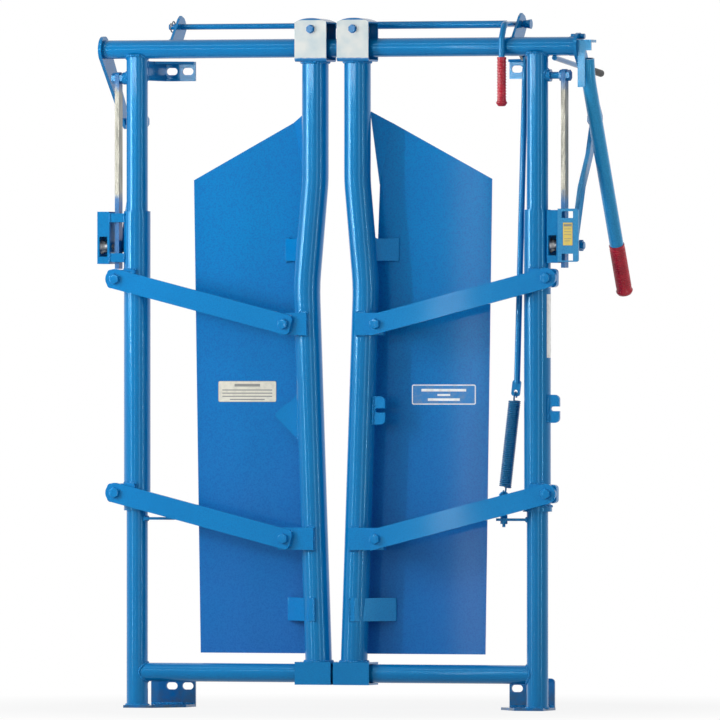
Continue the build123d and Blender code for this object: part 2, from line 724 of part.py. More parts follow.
def neck_centre(height):
    """Distance of the neck tube's axis from the middle, at a height above the floor."""
    if height >= neck_straight_height:
        return neck_top_x
    if height >= neck_bow_height:
        share = (height - neck_bow_height) / (neck_straight_height - neck_bow_height)
        return neck_bow_x + share * (neck_top_x - neck_bow_x)
    foot_height = slide_top - floor
    share = (height - foot_height) / (neck_bow_height - foot_height)
    return neck_foot_x + share * (neck_bow_x - neck_foot_x)


for name, side in (("left", -1), ("right", 1)):
    with BuildPart() as neck_tube:
        with BuildLine() as neck_line:
            FilletPolyline((side * neck_top_x, tube_y, neck_top),
                           (side * neck_top_x, tube_y, floor + neck_straight_height),
                           (side * neck_bow_x, tube_y, floor + neck_bow_height),
                           (side * neck_foot_x, tube_y, slide_top),
                           radius=[neck_upper_bend, neck_lower_bend])
        with BuildSketch(Plane((side * neck_top_x, tube_y, neck_top), z_dir=(0, 0, -1))):
            Circle(neck_diameter / 2)
            Circle(neck_diameter / 2 - neck_wall, mode=Mode.SUBTRACT)
        sweep()
        slab((-2 * neck_bow_x, 2 * neck_bow_x), (tube_y - neck_diameter, tube_y + neck_diameter),
             (slide_top - neck_diameter, slide_top), mode=Mode.SUBTRACT)
    save(neck_tube.part, f"{name}_neck_tube")
    with BuildPart() as neck_solid:
        with BuildLine():
            add(neck_line.line)
        with BuildSketch(Plane((side * neck_top_x, tube_y, neck_top), z_dir=(0, 0, -1))):
            Circle(neck_diameter / 2)
        sweep()

    low_x = side * neck_top_x - hanger_width / 2
    high_x = side * neck_top_x + hanger_width / 2
    with BuildPart() as hanger:
        slab((low_x, high_x), (tube_y - hanger_half, tube_y + hanger_half),
             (top_z - hanger_bottom, top_z + hanger_top))
        fillet(hanger.edges().filter_by(Axis.X), 7)
        arched_block((low_x, high_x), (tube_y - hanger_depth, tube_y + hanger_depth),
                     (top_z - hanger_bottom, top_z + hanger_top), hanger_arch, mode=Mode.INTERSECT)
        arched_block((low_x - 1, high_x + 1),
                     (tube_y - hanger_half + hanger_plate, tube_y + hanger_half - hanger_plate),
                     (top_z - hanger_bottom + hanger_plate, top_z + hanger_top - hanger_plate),
                     hanger_arch, mode=Mode.SUBTRACT)
        bar((side * neck_top_x, tube_y - 60, axle_z), (side * neck_top_x, tube_y + 60, axle_z),
            axle_diameter, mode=Mode.SUBTRACT)
    with BuildPart() as axle:
        bar((side * neck_top_x, tube_y - hanger_half - 3, axle_z),
            (side * neck_top_x, tube_y + hanger_half + 6, axle_z), axle_diameter)
        hex_head((side * neck_top_x, tube_y - hanger_half, axle_z), (0, -1, 0), 18, 6)
        hex_head((side * neck_top_x, tube_y + hanger_half, axle_z), (0, 1, 0), 18, 5)
    save(Compound([hanger.part.solid(), axle.part.solid()]), f"{name}_hanger")

    with BuildPart() as roller:
        bar((side * neck_top_x, tube_y - roller_width / 2, axle_z),
            (side * neck_top_x, tube_y + roller_width / 2, axle_z), 2 * roller_radius)
        bar((side * neck_top_x, tube_y - roller_width, axle_z),
            (side * neck_top_x, tube_y + roller_width, axle_z), axle_diameter + 0.2,
            mode=Mode.SUBTRACT)
    save(roller.part, f"{name}_hanger_roller")

    with BuildPart() as slide_box:
        box_in = side * slide_box_inner
        box_out = side * (slide_box_inner + slide_box_width)
        half = slide_box_depth / 2
        slab((box_in, box_out), (tube_y - half, tube_y + half), (slide_low, slide_top))
        slab((box_in - side * 5, box_out + side * 5),
             (tube_y - half + slide_box_wall, tube_y + half - slide_box_wall),
             (slide_low + slide_box_wall, slide_top - slide_box_wall), mode=Mode.SUBTRACT)
    save(slide_box.part, f"{name}_slide_box")

    # The wing panel is one sheet; its inner flange is bent forward from a crease to the neck tube
    panel_span = (tube_y + panel_offset, tube_y + panel_offset + panel_thickness)
    outline = [(panel_bottom_x, panel_bottom), (panel_top_x, panel_corner_height), crease_top,
               crease_foot]
    for height in (neck_bow_height, panel_bottom):
        outline.append((neck_centre(height) + panel_lap, height))
    corner = Vector(side * crease_top[0], panel_span[0], floor + crease_top[1])
    lower = Vector(side * crease_foot[0], panel_span[0], floor + crease_foot[1])
    tip = Vector(side * (neck_top_x + 26), tube_y + 14, floor + flange_tip_height)
    flange_plane = Plane(corner, x_dir=lower - corner, z_dir=(lower - corner).cross(tip - corner))
    outward = (corner - tip) - (lower - corner) * ((corner - tip).dot(lower - corner)
                                                   / (lower - corner).dot(lower - corner))
    seam = outward.normalized() * 1.2
    with BuildPart() as wing_panel:
        front_plate([(side * x, floor + height) for x, height in outline], panel_span)
        with BuildSketch(flange_plane) as flange:
            with BuildLine():
                Polyline(*[flange_plane.to_local_coords(point)
                           for point in (corner + seam, lower + seam, lower, tip, corner)],
                         close=True)
            make_face()
        extrude(flange.sketch, amount=side * panel_thickness)
        add(neck_solid.part, mode=Mode.SUBTRACT)
    save(wing_panel.part, f"{name}_wing_panel")

    with BuildPart() as door_tabs:
        upper_x = neck_centre(upper_tab_height)
        lower_x = neck_centre(lower_tab_height)
        flat_plate([(side * (upper_x + 18), tube_y + 10), (side * (upper_x + 22), tube_y + 5),
                    (side * (upper_x + 71), panel_span[0] - 4), (side * (upper_x + 71), panel_span[0]),
                    (side * (upper_x + 63), panel_span[0])],
                   (floor + upper_tab_height - 25, floor + upper_tab_height + 25))
        flat_plate([(side * (lower_x - 4), tube_y - 33), (side * (lower_x + 8), tube_y - 33),
                    (side * (lower_x + 82), panel_span[0] - 4), (side * (lower_x + 82), panel_span[0]),
                    (side * (lower_x + 74), panel_span[0]), (side * (lower_x + 2), tube_y - 27)],
                   (floor + lower_tab_height - 26, floor + lower_tab_height + 26))
        for pivot_z in pivot_heights.values():
            lug_z = pivot_z - arm_rise
            slab((side * (neck_centre(lug_z - floor) - 10), side * (door_pivot_x + 16)),
                 (tube_y - lug_face, tube_y - 24), (lug_z - 25, lug_z + 25))
        if name == "left":
            front_plate([(side * x, floor + height) for x, height in hook_outline],
                        (tube_y + 4, tube_y + 4 + plate_thickness))
        else:
            lug_x = neck_centre(neck_chain_lug_height)
            chain_lug(lug_x + 18, lug_x + 58, lug_x + 40, floor + neck_chain_lug_height)
        add(neck_solid.part, mode=Mode.SUBTRACT)
    save(door_tabs.part, f"{name}_door_tabs")

# Selector rod along the top, with its pipe, flared head, handle and grip
with BuildPart() as selector_rod:
    bar((-left_ear_x - 24, selector_y, selector_z), (right_ear_x + 24, selector_y, selector_z),
        selector_diameter)
    bar((0, selector_y, selector_z), (selector_handle_x - 22, selector_y, selector_z),
        selector_pipe_diameter)
    with BuildSketch(Plane((right_ear_x + 8, selector_y, selector_z), z_dir=(1, 0, 0))) as head_root:
        Circle(8)
    with BuildSketch(Plane((right_ear_x + 26, selector_y, selector_z), z_dir=(1, 0, 0))) as head_end:
        Circle(11)
    loft([head_root.sketch.face(), head_end.sketch.face()])
    bar((clip_x, selector_y, selector_z - 20), (clip_x, selector_y, selector_z + 20),
        clip_wire + 3, mode=Mode.SUBTRACT)
save(selector_rod.part, "selector_rod")

with BuildPart() as retaining_clip:
    with Locations(Location((clip_x, selector_y - clip_radius + 1, selector_z), (0, 90, 0))):
        Torus(clip_radius, clip_wire / 2)
save(retaining_clip.part, "retaining_clip")

handle_y = tube_y - rail_radius - selector_bar_diameter / 2 - roller_gap
with BuildPart() as selector_handle:
    with BuildLine() as handle_line:
        FilletPolyline((selector_handle_x, selector_y, selector_z),
                       (selector_handle_x, tube_y - 10, selector_z - 2),
                       (selector_handle_x, handle_y, top_z + 18),
                       (selector_handle_x, handle_y, top_z - 24 - selector_grip_length + 12),
                       radius=16)
    with BuildSketch(Plane(handle_line.wires()[0] @ 0, z_dir=handle_line.wires()[0] % 0)):
        Circle(selector_bar_diameter / 2)
    sweep()
    bar((0, selector_y, selector_z), (right_ear_x, selector_y, selector_z), selector_diameter,
        mode=Mode.SUBTRACT)
save(selector_handle.part, "selector_handle")

with BuildPart() as selector_grip:
    grip_body((selector_handle_x, handle_y, top_z - 24), (0, 0, -1), selector_grip_length,
              selector_grip_diameter)
    bar((selector_handle_x, handle_y, top_z), (selector_handle_x, handle_y,
        top_z - 24 - selector_grip_length + 12), selector_bar_diameter + 0.1, mode=Mode.SUBTRACT)
save(selector_grip.part, "selector_grip")

# Return spring: a close coil with a hook at each end, leaning from the eye bolt to its rod
coil_length = coil_pitch * coil_turns
hook_reach = 2 * hook_rise + hook_radius
eye_seat = hook_reach - hook_radius + eye_radius + hook_radius - wire / 2 - eye_wire / 2 - 0.5
lean = Vector(spring_top_x - eye_x, 0, spring_top_height - eye_height).normalized()
spring_plane = Plane((eye_x, tube_y + hook_radius - hook_rise, eye_z),
                     x_dir=Vector(lean.Z, 0, -lean.X), z_dir=lean)
coil_plane = spring_plane.offset(eye_seat)
mid_radius = math.hypot(coil_radius, coil_pitch / 4)


def hook(base, way):
    """Hook at one end of the coil: a half turn to the axis, a bend and an open loop."""
    turn = coil_radius / 2
    bend = hook_rise * math.sqrt(0.5)
    bend_out = hook_rise - bend
    loop_z = base + way * 2 * hook_rise
    loop_y = way * (hook_radius - hook_rise)
    slant = math.radians(30)
    ThreePointArc((coil_radius, 0, base), (turn, way * turn, base), (0, 0, base))
    ThreePointArc((0, 0, base), (0, -way * bend, base + way * bend_out),
                  (0, -way * hook_rise, base + way * hook_rise))
    Line((0, -way * hook_rise, base + way * hook_rise), (0, -way * hook_rise, loop_z))
    ThreePointArc((0, -way * hook_rise, loop_z), (0, loop_y, loop_z + way * hook_radius),
                  (0, loop_y + way * hook_radius, loop_z))
    ThreePointArc((0, loop_y + way * hook_radius, loop_z),
                  (0, loop_y + way * hook_radius * math.cos(slant / 2),
                   loop_z - way * hook_radius * math.sin(slant / 2)),
                  (0, loop_y + way * hook_radius * math.cos(slant),
                   loop_z - way * hook_radius * math.sin(slant)))


with BuildPart() as return_spring:
    with BuildLine(coil_plane) as spring_line:
        hook(0, -1)
        for half_turn in range(2 * coil_turns):
            sign = 1 if half_turn % 2 == 0 else -1
            rise = half_turn * coil_pitch / 2
            ThreePointArc((sign * coil_radius, 0, rise),
                          (0, sign * mid_radius, rise + coil_pitch / 4),
                          (-sign * coil_radius, 0, rise + coil_pitch / 2))
        hook(coil_length, 1)
    path = spring_line.wires()[0]
    with BuildSketch(Plane(path @ 0, z_dir=path % 0)):
        Circle(wire / 2)
    sweep(path=path)
save(return_spring.part, "return_spring")

samples = 1400
points = [path @ (index / samples) for index in range(samples + 1)]
skip = int(samples * 3.5 * wire / path.length)
least = min((points[i] - points[j]).length for i in range(samples + 1)
            for j in range(i + skip, samples + 1))
print(f"spring: least gap to itself {least - wire:.2f} mm")

# Spring rod between the spring and the arm on the torsion shaft
rod_hole = coil_plane.from_local_coords((0, hook_radius - hook_rise, coil_length + hook_reach + 1.2))
rod_foot = coil_plane.from_local_coords((0, hook_radius - hook_rise, coil_length + hook_reach + 26))
eye_start = spring_arm_x + plate_thickness + arm_gap
rod_head = Vector(eye_start + 3, arm_tip[0], arm_tip[1] - 8)
with BuildPart() as spring_rod:
    bar(rod_foot - (rod_head - rod_foot).normalized() * 6, rod_head, spring_rod_diameter)
    with BuildSketch(Plane(rod_hole - coil_plane.y_dir * 2.5, x_dir=coil_plane.x_dir,
                           z_dir=coil_plane.y_dir)) as foot_face:
        with Locations((0, -8)):
            Rectangle(20, 36)
        fillet(foot_face.vertices(), 6)
        Circle(4.5, mode=Mode.SUBTRACT)
    extrude(foot_face.sketch, amount=5)
    slab((eye_start + 6, eye_start + 14), (arm_tip[0] - 20, arm_tip[0] + 20),
         (arm_tip[1] - 40, arm_tip[1] + 20), mode=Mode.SUBTRACT)
    slab((eye_start - 14, eye_start), (arm_tip[0] - 20, arm_tip[0] + 20),
         (arm_tip[1] - 24, arm_tip[1] + 20), mode=Mode.SUBTRACT)
    side_link(arm_tip, (arm_tip[0] - 1, arm_tip[1] - 22), 10, 7, (eye_start, eye_start + 6))
save(spring_rod.part, "spring_rod")
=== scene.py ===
"""Cattle head gate: paint, welds, grips, spring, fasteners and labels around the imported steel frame.

Every place is in metres in the frame's axes: +X towards the hand lever, -Y to the front, +Z up.
"""

import logging
import math
import random
from dataclasses import dataclass, field
from enum import Enum
from typing import Iterable, Sequence

import bmesh
import bpy
from bpy.types import Material, NodeSocket, Object
from mathutils import Matrix, Vector

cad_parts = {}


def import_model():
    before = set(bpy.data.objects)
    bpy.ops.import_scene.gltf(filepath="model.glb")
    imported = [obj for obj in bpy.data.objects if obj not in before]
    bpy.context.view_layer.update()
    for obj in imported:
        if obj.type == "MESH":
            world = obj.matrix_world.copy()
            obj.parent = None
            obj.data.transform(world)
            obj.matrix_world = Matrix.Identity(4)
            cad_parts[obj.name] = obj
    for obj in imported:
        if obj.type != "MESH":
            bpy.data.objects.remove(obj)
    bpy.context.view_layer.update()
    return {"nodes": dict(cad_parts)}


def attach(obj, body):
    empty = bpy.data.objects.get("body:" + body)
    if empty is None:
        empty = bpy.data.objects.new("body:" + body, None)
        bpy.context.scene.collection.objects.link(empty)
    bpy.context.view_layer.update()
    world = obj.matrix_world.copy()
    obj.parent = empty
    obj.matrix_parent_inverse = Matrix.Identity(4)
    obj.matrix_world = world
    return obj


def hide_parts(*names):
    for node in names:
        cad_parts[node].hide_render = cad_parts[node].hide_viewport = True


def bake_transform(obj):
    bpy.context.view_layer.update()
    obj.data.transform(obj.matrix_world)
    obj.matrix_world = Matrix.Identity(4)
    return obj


log = logging.getLogger("head_gate")

MM = 0.001
FLOOR = -47 * MM
TUBE_Y = -113 * MM
TOP_Z = 1438 * MM
BOTTOM_Z = 33.5 * MM
POST_X = 475 * MM
POST_RADIUS = 24.15 * MM
RAIL_RADIUS = 21.1 * MM
SLEEVE_RADIUS = 30.15 * MM
NECK_RADIUS = 30.15 * MM
BRACKET_Z = 383 * MM
UPPER_PIVOT_Z = 920 * MM
LOWER_PIVOT_Z = 438 * MM
PANEL_LABEL_Y = -71.05 * MM
COVER_LABEL_Y = -137.05 * MM


def linear(code: str) -> tuple[float, float, float, float]:
    """Linear colour of a hex code such as #0076be."""
    channels = [int(code[i:i + 2], 16) / 255 for i in (1, 3, 5)]
    return (*[c / 12.92 if c <= 0.04045 else ((c + 0.055) / 1.055) ** 2.4 for c in channels], 1.0)


class Side(Enum):
    """Side of the gate, with its sign along X."""

    LEFT = -1
    RIGHT = 1

    @property
    def word(self) -> str:
        """Lower-case word used in names."""
        return self.name.lower()


# Finishes


class Graph:
    """Node tree of one material, with short ways to add the usual nodes."""

    def __init__(self, name: str) -> None:
        """Start a material with its main shader.

        Args:
            name: name of the material.
        """
        self.material = bpy.data.materials.new(name)
        self.material.use_nodes = True
        self.tree = self.material.node_tree
        self.shader = self.tree.nodes["Principled BSDF"]
        self.place = self.tree.nodes.new("ShaderNodeTexCoord").outputs["Object"]

    def link(self, source: NodeSocket, target: str) -> None:
        """Link a socket to one of the main shader's inputs."""
        self.tree.links.new(source, self.shader.inputs[target])

    def settle(self, **values: object) -> None:
        """Set inputs of the main shader; underscores in a name stand for spaces."""
        for name, value in values.items():
            self.shader.inputs[name.replace("_", " ")].default_value = value

    def noise(self, scale: float, detail: float = 2.0, stretch: Sequence[float] = (1, 1, 1)) -> NodeSocket:
        """Noise over the piece.

        Args:
            scale: cells per metre.
            detail: octaves.
            stretch: scale along each axis.

        Returns:
            The noise value, about 0.3 to 0.7.
        """
        mapping = self.tree.nodes.new("ShaderNodeMapping")
        mapping.inputs["Scale"].default_value = stretch
        self.tree.links.new(self.place, mapping.inputs["Vector"])
        node = self.tree.nodes.new("ShaderNodeTexNoise")
        node.inputs["Scale"].default_value = scale
        node.inputs["Detail"].default_value = detail
        self.tree.links.new(mapping.outputs["Vector"], node.inputs["Vector"])
        return node.outputs["Fac"]

    def axis(self, name: str) -> NodeSocket:
        """One coordinate of the surface point."""
        node = self.tree.nodes.new("ShaderNodeSeparateXYZ")
        self.tree.links.new(self.place, node.inputs[0])
        return node.outputs[name]

    def band(self, value: NodeSocket, low: float, high: float, start: float = 0.0,
             end: float = 1.0) -> NodeSocket:
        """Map a value from low..high to start..end, held at both ends."""
        node = self.tree.nodes.new("ShaderNodeMapRange")
        self.tree.links.new(value, node.inputs["Value"])
        for name, number in (("From Min", low), ("From Max", high), ("To Min", start), ("To Max", end)):
            node.inputs[name].default_value = number
        return node.outputs["Result"]

    def sums(self, kind: str, first: NodeSocket, second: NodeSocket | float) -> NodeSocket:
        """Arithmetic on two values."""
        node = self.tree.nodes.new("ShaderNodeMath")
        node.operation = kind
        self.tree.links.new(first, node.inputs[0])
        if isinstance(second, (int, float)):
            node.inputs[1].default_value = second
        else:
            self.tree.links.new(second, node.inputs[1])
        return node.outputs[0]

    def mix(self, factor: NodeSocket, first: object, second: object) -> NodeSocket:
        """Blend two colours.

        Args:
            factor: 0 for the first colour, 1 for the second.
            first: colour or socket.
            second: colour or socket.

        Returns:
            The blended colour.
        """
        node = self.tree.nodes.new("ShaderNodeMix")
        node.data_type = "RGBA"
        self.tree.links.new(factor, node.inputs[0])
        for index, colour in ((6, first), (7, second)):
            if isinstance(colour, tuple):
                node.inputs[index].default_value = colour
            else:
                self.tree.links.new(colour, node.inputs[index])
        return node.outputs[2]

    def bump(self, height: NodeSocket, distance: float, strength: float = 1.0) -> None:
        """Raise the surface by a height value."""
        node = self.tree.nodes.new("ShaderNodeBump")
        node.inputs["Distance"].default_value = distance
        node.inputs["Strength"].default_value = strength
        self.tree.links.new(height, node.inputs["Height"])
        self.link(node.outputs["Normal"], "Normal")


@dataclass(frozen=True)
class Paint:
    """Gloss powder coat with slow colour drift, fine flecks and orange peel, and where given a painted floor
    reflection lower down.
    """

    name: str
    colour: str
    shade: str
    # Colour of a painted reflection of the floor, blended in lower down.
    low_colour: str = ""
    roughness: float = 0.16
    sheen: float = 0.5
    clear: float = 0.22
    fleck: float = 0.3
    fleck_colour: str = "#0a4f93"
    grain: float = 330.0
    peel: float = 0.00003
    # Darkening towards the floor, mottled by noise, and its colour.
    grime: float = 0.0
    grime_colour: str = "#4b4a45"
    sheen_tint: tuple[float, float, float, float] = (0.1, 0.62, 1.0, 1.0)

    def material(self) -> Material:
        """Build the paint."""
        graph = Graph(self.name)
        colour: object = linear(self.colour)
        # Painted reflection of the floor: lower down the colour blends towards a second colour.
        if self.low_colour:
            height = graph.sums("ADD", graph.axis("Z"), graph.band(graph.noise(3), 0, 1, -0.25, 0.25))
            colour = graph.mix(graph.band(height, 0.25, 1.05), linear(self.low_colour), colour)
        drift = graph.band(graph.noise(5, 3), 0.35, 0.7, 0.0, 0.5)
        colour = graph.mix(drift, colour, linear(self.shade))
        flecks = graph.band(graph.noise(self.grain, 2), 0.42, 0.7, 0.0, self.fleck)
        colour = graph.mix(flecks, colour, linear(self.fleck_colour))
        # Darker and mottled towards the floor.
        if self.grime:
            darker_near_floor = graph.sums("MULTIPLY", graph.band(graph.axis("Z"), 0.02, FLOOR, 0.0, self.grime),
                              graph.band(graph.noise(60, 4), 0.35, 0.65))
            colour = graph.mix(darker_near_floor, colour, linear(self.grime_colour))
        graph.link(colour, "Base Color")
        graph.link(graph.band(graph.noise(9, 3), 0.3, 0.7, self.roughness - 0.04, self.roughness + 0.06),
                   "Roughness")
        graph.settle(Specular_IOR_Level=self.sheen, Specular_Tint=self.sheen_tint,
                     Coat_Weight=self.clear, Coat_Roughness=0.07)
        graph.bump(graph.noise(330, 2), self.peel)
        return graph.material


@dataclass(frozen=True)
class BareFace:
    """Front face painted whitish grey as a painted reflection of the lamps; its lower band, the bolt head and
    the other faces are painted blue.
    """

    name: str
    colour: str = "#0470ae"
    # Whitish colours of the painted reflection on the front face.
    face_colour: str = "#cfd3d0"
    cloud_colour: str = "#b4c4c9"
    band_top: float = TOP_Z - 22 * MM
    front: float = TUBE_Y - 34.5 * MM
    bolt_x: float = 50 * MM
    bolt_z: float = TOP_Z + 42 * MM
    bolt_reach: float = 9.6 * MM

    def material(self) -> Material:
        """Build the blue paint with the painted reflection on the front face."""
        graph = Graph(self.name)
        front = graph.band(graph.axis("Y"), self.front, self.front - 0.3 * MM)
        height = graph.sums("ADD", graph.axis("Z"), graph.band(graph.noise(60), 0, 1, -0.002, 0.002))
        lower = graph.band(height, self.band_top - 2 * MM, self.band_top)
        aside = graph.sums("SUBTRACT", graph.sums("ABSOLUTE", graph.axis("X"), 0), self.bolt_x)
        rise = graph.sums("SUBTRACT", graph.axis("Z"), self.bolt_z)
        reach = graph.sums("SQRT", graph.sums("ADD", graph.sums("POWER", graph.sums("ABSOLUTE", aside, 0), 2),
                                              graph.sums("POWER", graph.sums("ABSOLUTE", rise, 0), 2)), 0)
        clear = graph.band(reach, self.bolt_reach, self.bolt_reach + 0.3 * MM)
        # Painted reflection: whitish on the front face above the blue band, away from the bolt head.
        reflection_mask = graph.sums("MULTIPLY", graph.sums("MULTIPLY", front, lower), clear)
        front_reflection = graph.mix(graph.band(graph.noise(26, 3), 0.35, 0.7), linear(self.face_colour),
                          linear(self.cloud_colour))
        graph.link(graph.mix(reflection_mask, linear(self.colour), front_reflection), "Base Color")
        graph.link(graph.band(reflection_mask, 0, 1, 0.2, 0.3), "Roughness")
        graph.settle(Specular_IOR_Level=0.45)
        graph.bump(graph.noise(300, 2), 0.00005)
        return graph.material


@dataclass(frozen=True)
class Zinc:
    """Zinc-plated bar with a soft grain, and paint drifting over its ends."""

    name: str
    painted_above: float = 9.0
    painted_below: float = -9.0
    colour: str = "#a3a297"
    shade: str = "#73736c"
    paint_colour: str = "#0565a2"
    roughness: float = 0.34

    def material(self) -> Material:
        """Build the plating."""
        graph = Graph(self.name)
        grain = graph.noise(190, 3, (1, 1, 0.12))
        plate = graph.mix(graph.band(grain, 0.3, 0.7), linear(self.colour), linear(self.shade))
        height = graph.sums("ADD", graph.axis("Z"), graph.band(graph.noise(34, 3), 0, 1, -0.03, 0.03))
        above = graph.band(height, self.painted_above - 0.014, self.painted_above + 0.014)
        below = graph.band(height, self.painted_below + 0.014, self.painted_below - 0.014)
        paint = graph.sums("MAXIMUM", above, below)
        graph.link(graph.mix(paint, plate, linear(self.paint_colour)), "Base Color")
        graph.link(graph.band(paint, 0, 1, 0.85, 0.0), "Metallic")
        graph.link(graph.band(grain, 0.3, 0.7, self.roughness - 0.05, self.roughness + 0.08), "Roughness")
        graph.bump(grain, 0.00008)
        return graph.material


@dataclass(frozen=True)
class Moulded:
    """Moulded rubber, vinyl or nylon."""

    name: str
    colour: str
    shade: str
    roughness: float = 0.35
    texture: float = 0.00004
    sheen: float = 0.4

    def material(self) -> Material:
        """Build the moulding."""
        graph = Graph(self.name)
        drift = graph.band(graph.noise(40, 3), 0.35, 0.7)
        graph.link(graph.mix(drift, linear(self.colour), linear(self.shade)), "Base Color")
        graph.link(graph.band(graph.noise(120, 2), 0.3, 0.7, self.roughness - 0.05, self.roughness + 0.08),
                   "Roughness")
        graph.settle(Specular_IOR_Level=self.sheen)
        graph.bump(graph.noise(700, 2), self.texture)
        return graph.material


@dataclass(frozen=True)
class LabelStock:
    """Printed vinyl film in one colour, a little uneven."""

    name: str
    colour: str
    wear_colour: str = "#8f8f88"
    roughness: float = 0.4

    def material(self) -> Material:
        """Build the film."""
        graph = Graph(self.name)
        wear = graph.band(graph.noise(90, 4), 0.45, 0.8, 0.0, 0.35)
        graph.link(graph.mix(wear, linear(self.colour), linear(self.wear_colour)), "Base Color")
        graph.settle(Roughness=self.roughness)
        graph.bump(graph.noise(500, 2), 0.00002)
        return graph.material


@dataclass
class Finishes:
    """All finishes of the gate, built once."""

    frame: Material = field(default_factory=lambda: Paint("frame_blue", "#0276b4", "#0468a4").material())
    # The feet are darker and mottled towards the floor.
    foot: Material = field(
        default_factory=lambda: Paint("foot_blue", "#0b66a8", "#085892", grime=0.7).material())
    arm: Material = field(default_factory=lambda: Paint("arm_blue", "#047cc0", "#0570b0").material())
    # The panels carry a painted reflection of the floor towards their bottom.
    panel: Material = field(
        default_factory=lambda: Paint("panel_blue", "#0078ba", "#0a6db2", low_colour="#2468b0",
                                      roughness=0.36, sheen=0.3, clear=0.12, fleck=0.55,
                                      fleck_colour="#16509c", grain=300).material())
    # Lit copy of the frame blue: the lever's paint is lighter as painted light, in place of a highlight.
    lever: Material = field(
        default_factory=lambda: Paint("lever_blue", "#2b9ad2", "#228cc4").material())
    # Lit copy of the frame blue: painted light that makes the lever bracket, lock cover and right lift link
    # lighter.
    light: Material = field(default_factory=lambda: Paint("light_blue", "#3f8fc2", "#3080b6").material())
    weld: Material = field(default_factory=lambda: Paint("weld_blue", "#0a7cbc", "#0468a6").material())
    spring: Material = field(
        default_factory=lambda: Paint("spring_blue", "#14608f", "#0f5280", roughness=0.24).material())
    # The hangers carry a painted reflection on their front faces.
    hanger: Material = field(default_factory=lambda: BareFace("hanger_plate").material())
    latch: Material = field(
        default_factory=lambda: Zinc("latch_zinc", 1.352, 1.100).material())
    steel: Material = field(
        default_factory=lambda: Zinc("bare_steel", colour="#8f9294", shade="#6f7275").material())
    red: Material = field(
        default_factory=lambda: Moulded("red_vinyl", "#c0122f", "#a00c28", 0.24, sheen=0.4).material())
    rubber: Material = field(
        default_factory=lambda: Moulded("black_rubber", "#141516", "#1f2122", 0.5).material())
    nylon: Material = field(
        default_factory=lambda: Moulded("bush_nylon", "#d8d5c8", "#c4c0b0", 0.4).material())
    cream: Material = field(default_factory=lambda: LabelStock("cream_film", "#d6d3c4").material())
    white: Material = field(default_factory=lambda: LabelStock("white_film", "#eef0ef").material())
    blue_film: Material = field(default_factory=lambda: LabelStock("blue_film", "#1579bd").material())
    yellow: Material = field(default_factory=lambda: LabelStock("yellow_film", "#d8c05a").material())
    grey_film: Material = field(default_factory=lambda: LabelStock("grey_film", "#7d7f7c").material())


def dress_nodes(nodes: dict[str, Object], finishes: Finishes) -> None:
    """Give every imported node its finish.

    Args:
        nodes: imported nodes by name.
        finishes: the finishes.
    """
    special = {
        finishes.foot: ("feet",),
        finishes.arm: ("left_upper_arm", "left_lower_arm", "right_upper_arm", "right_lower_arm",
                       "left_sleeve_lugs", "right_sleeve_lugs", "left_door_tabs", "right_door_tabs"),
        finishes.lever: ("hand_lever",),
        finishes.panel: ("left_wing_panel", "right_wing_panel"),
        finishes.light: ("lever_bracket", "lock_cover", "right_lift_link"),
        finishes.hanger: ("left_hanger", "right_hanger"),
        finishes.latch: ("latch_bars",),
        finishes.steel: ("torsion_shaft", "left_hanger_roller", "right_hanger_roller", "left_lock_cam",
                         "right_lock_cam", "retaining_clip"),
        finishes.spring: ("return_spring",),
        finishes.red: ("lever_grip", "selector_grip"),
        finishes.rubber: ("bumper",),
        finishes.nylon: ("shaft_bushes",),
    }
    chosen = {name: finish for finish, names in special.items() for name in names}
    for name, node in nodes.items():
        node.data.materials.clear()
        node.data.materials.append(chosen.get(name, finishes.frame))
    log.info("dressed %d nodes", len(nodes))


# Shapes


def make_piece(shape: bmesh.types.BMesh, name: str, finishes: Sequence[Material], body: str | None,
               slot: str, replaces: Sequence[str] = (), sharp: float = 35.0) -> Object:
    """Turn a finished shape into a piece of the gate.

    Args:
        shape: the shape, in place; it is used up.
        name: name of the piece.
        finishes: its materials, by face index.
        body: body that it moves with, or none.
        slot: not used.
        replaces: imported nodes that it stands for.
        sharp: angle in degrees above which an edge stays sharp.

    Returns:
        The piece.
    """
    bmesh.ops.recalc_face_normals(shape, faces=shape.faces)
    limit = math.radians(sharp)
    for face in shape.faces:
        face.smooth = True
    for edge in shape.edges:
        if len(edge.link_faces) == 2:
            edge.smooth = edge.calc_face_angle(0.0) < limit
    mesh = bpy.data.meshes.new(name)
    shape.to_mesh(mesh)
    shape.free()
    for finish in finishes:
        mesh.materials.append(finish)
    piece = bpy.data.objects.new(name, mesh)
    bpy.context.scene.collection.objects.link(piece)
    if body:
        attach(piece, body)
    for node in replaces:
        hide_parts(node)
    log.info("piece %s on %s", name, body or "two bodies")
    return piece


def turned(profile: Sequence[tuple[float, float]], start: Vector, along: Vector, steps: int = 40,
           shape: bmesh.types.BMesh | None = None) -> bmesh.types.BMesh:
    """Turn a profile about a line.

    Args:
        profile: radius and distance along the line, from one end to the other.
        start: start of the line.
        along: direction of the line.
        steps: faces around.
        shape: shape to add to, or none for a new one.

    Returns:
        The turned shape.
    """
    part = bmesh.new()
    points = [part.verts.new((radius, 0, rise)) for radius, rise in profile]
    edges = [part.edges.new(pair) for pair in zip(points, points[1:])]
    bmesh.ops.spin(part, geom=points + edges, cent=(0, 0, 0), axis=(0, 0, 1), angle=math.tau,
                   steps=steps, use_merge=True, dvec=(0, 0, 0))
    bmesh.ops.remove_doubles(part, verts=part.verts, dist=1e-6)
    turn = Vector((0, 0, 1)).rotation_difference(along.normalized()).to_matrix().to_4x4()
    bmesh.ops.transform(part, matrix=Matrix.Translation(start) @ turn, verts=part.verts)
    if shape is None:
        return part
    return joined(shape, part)


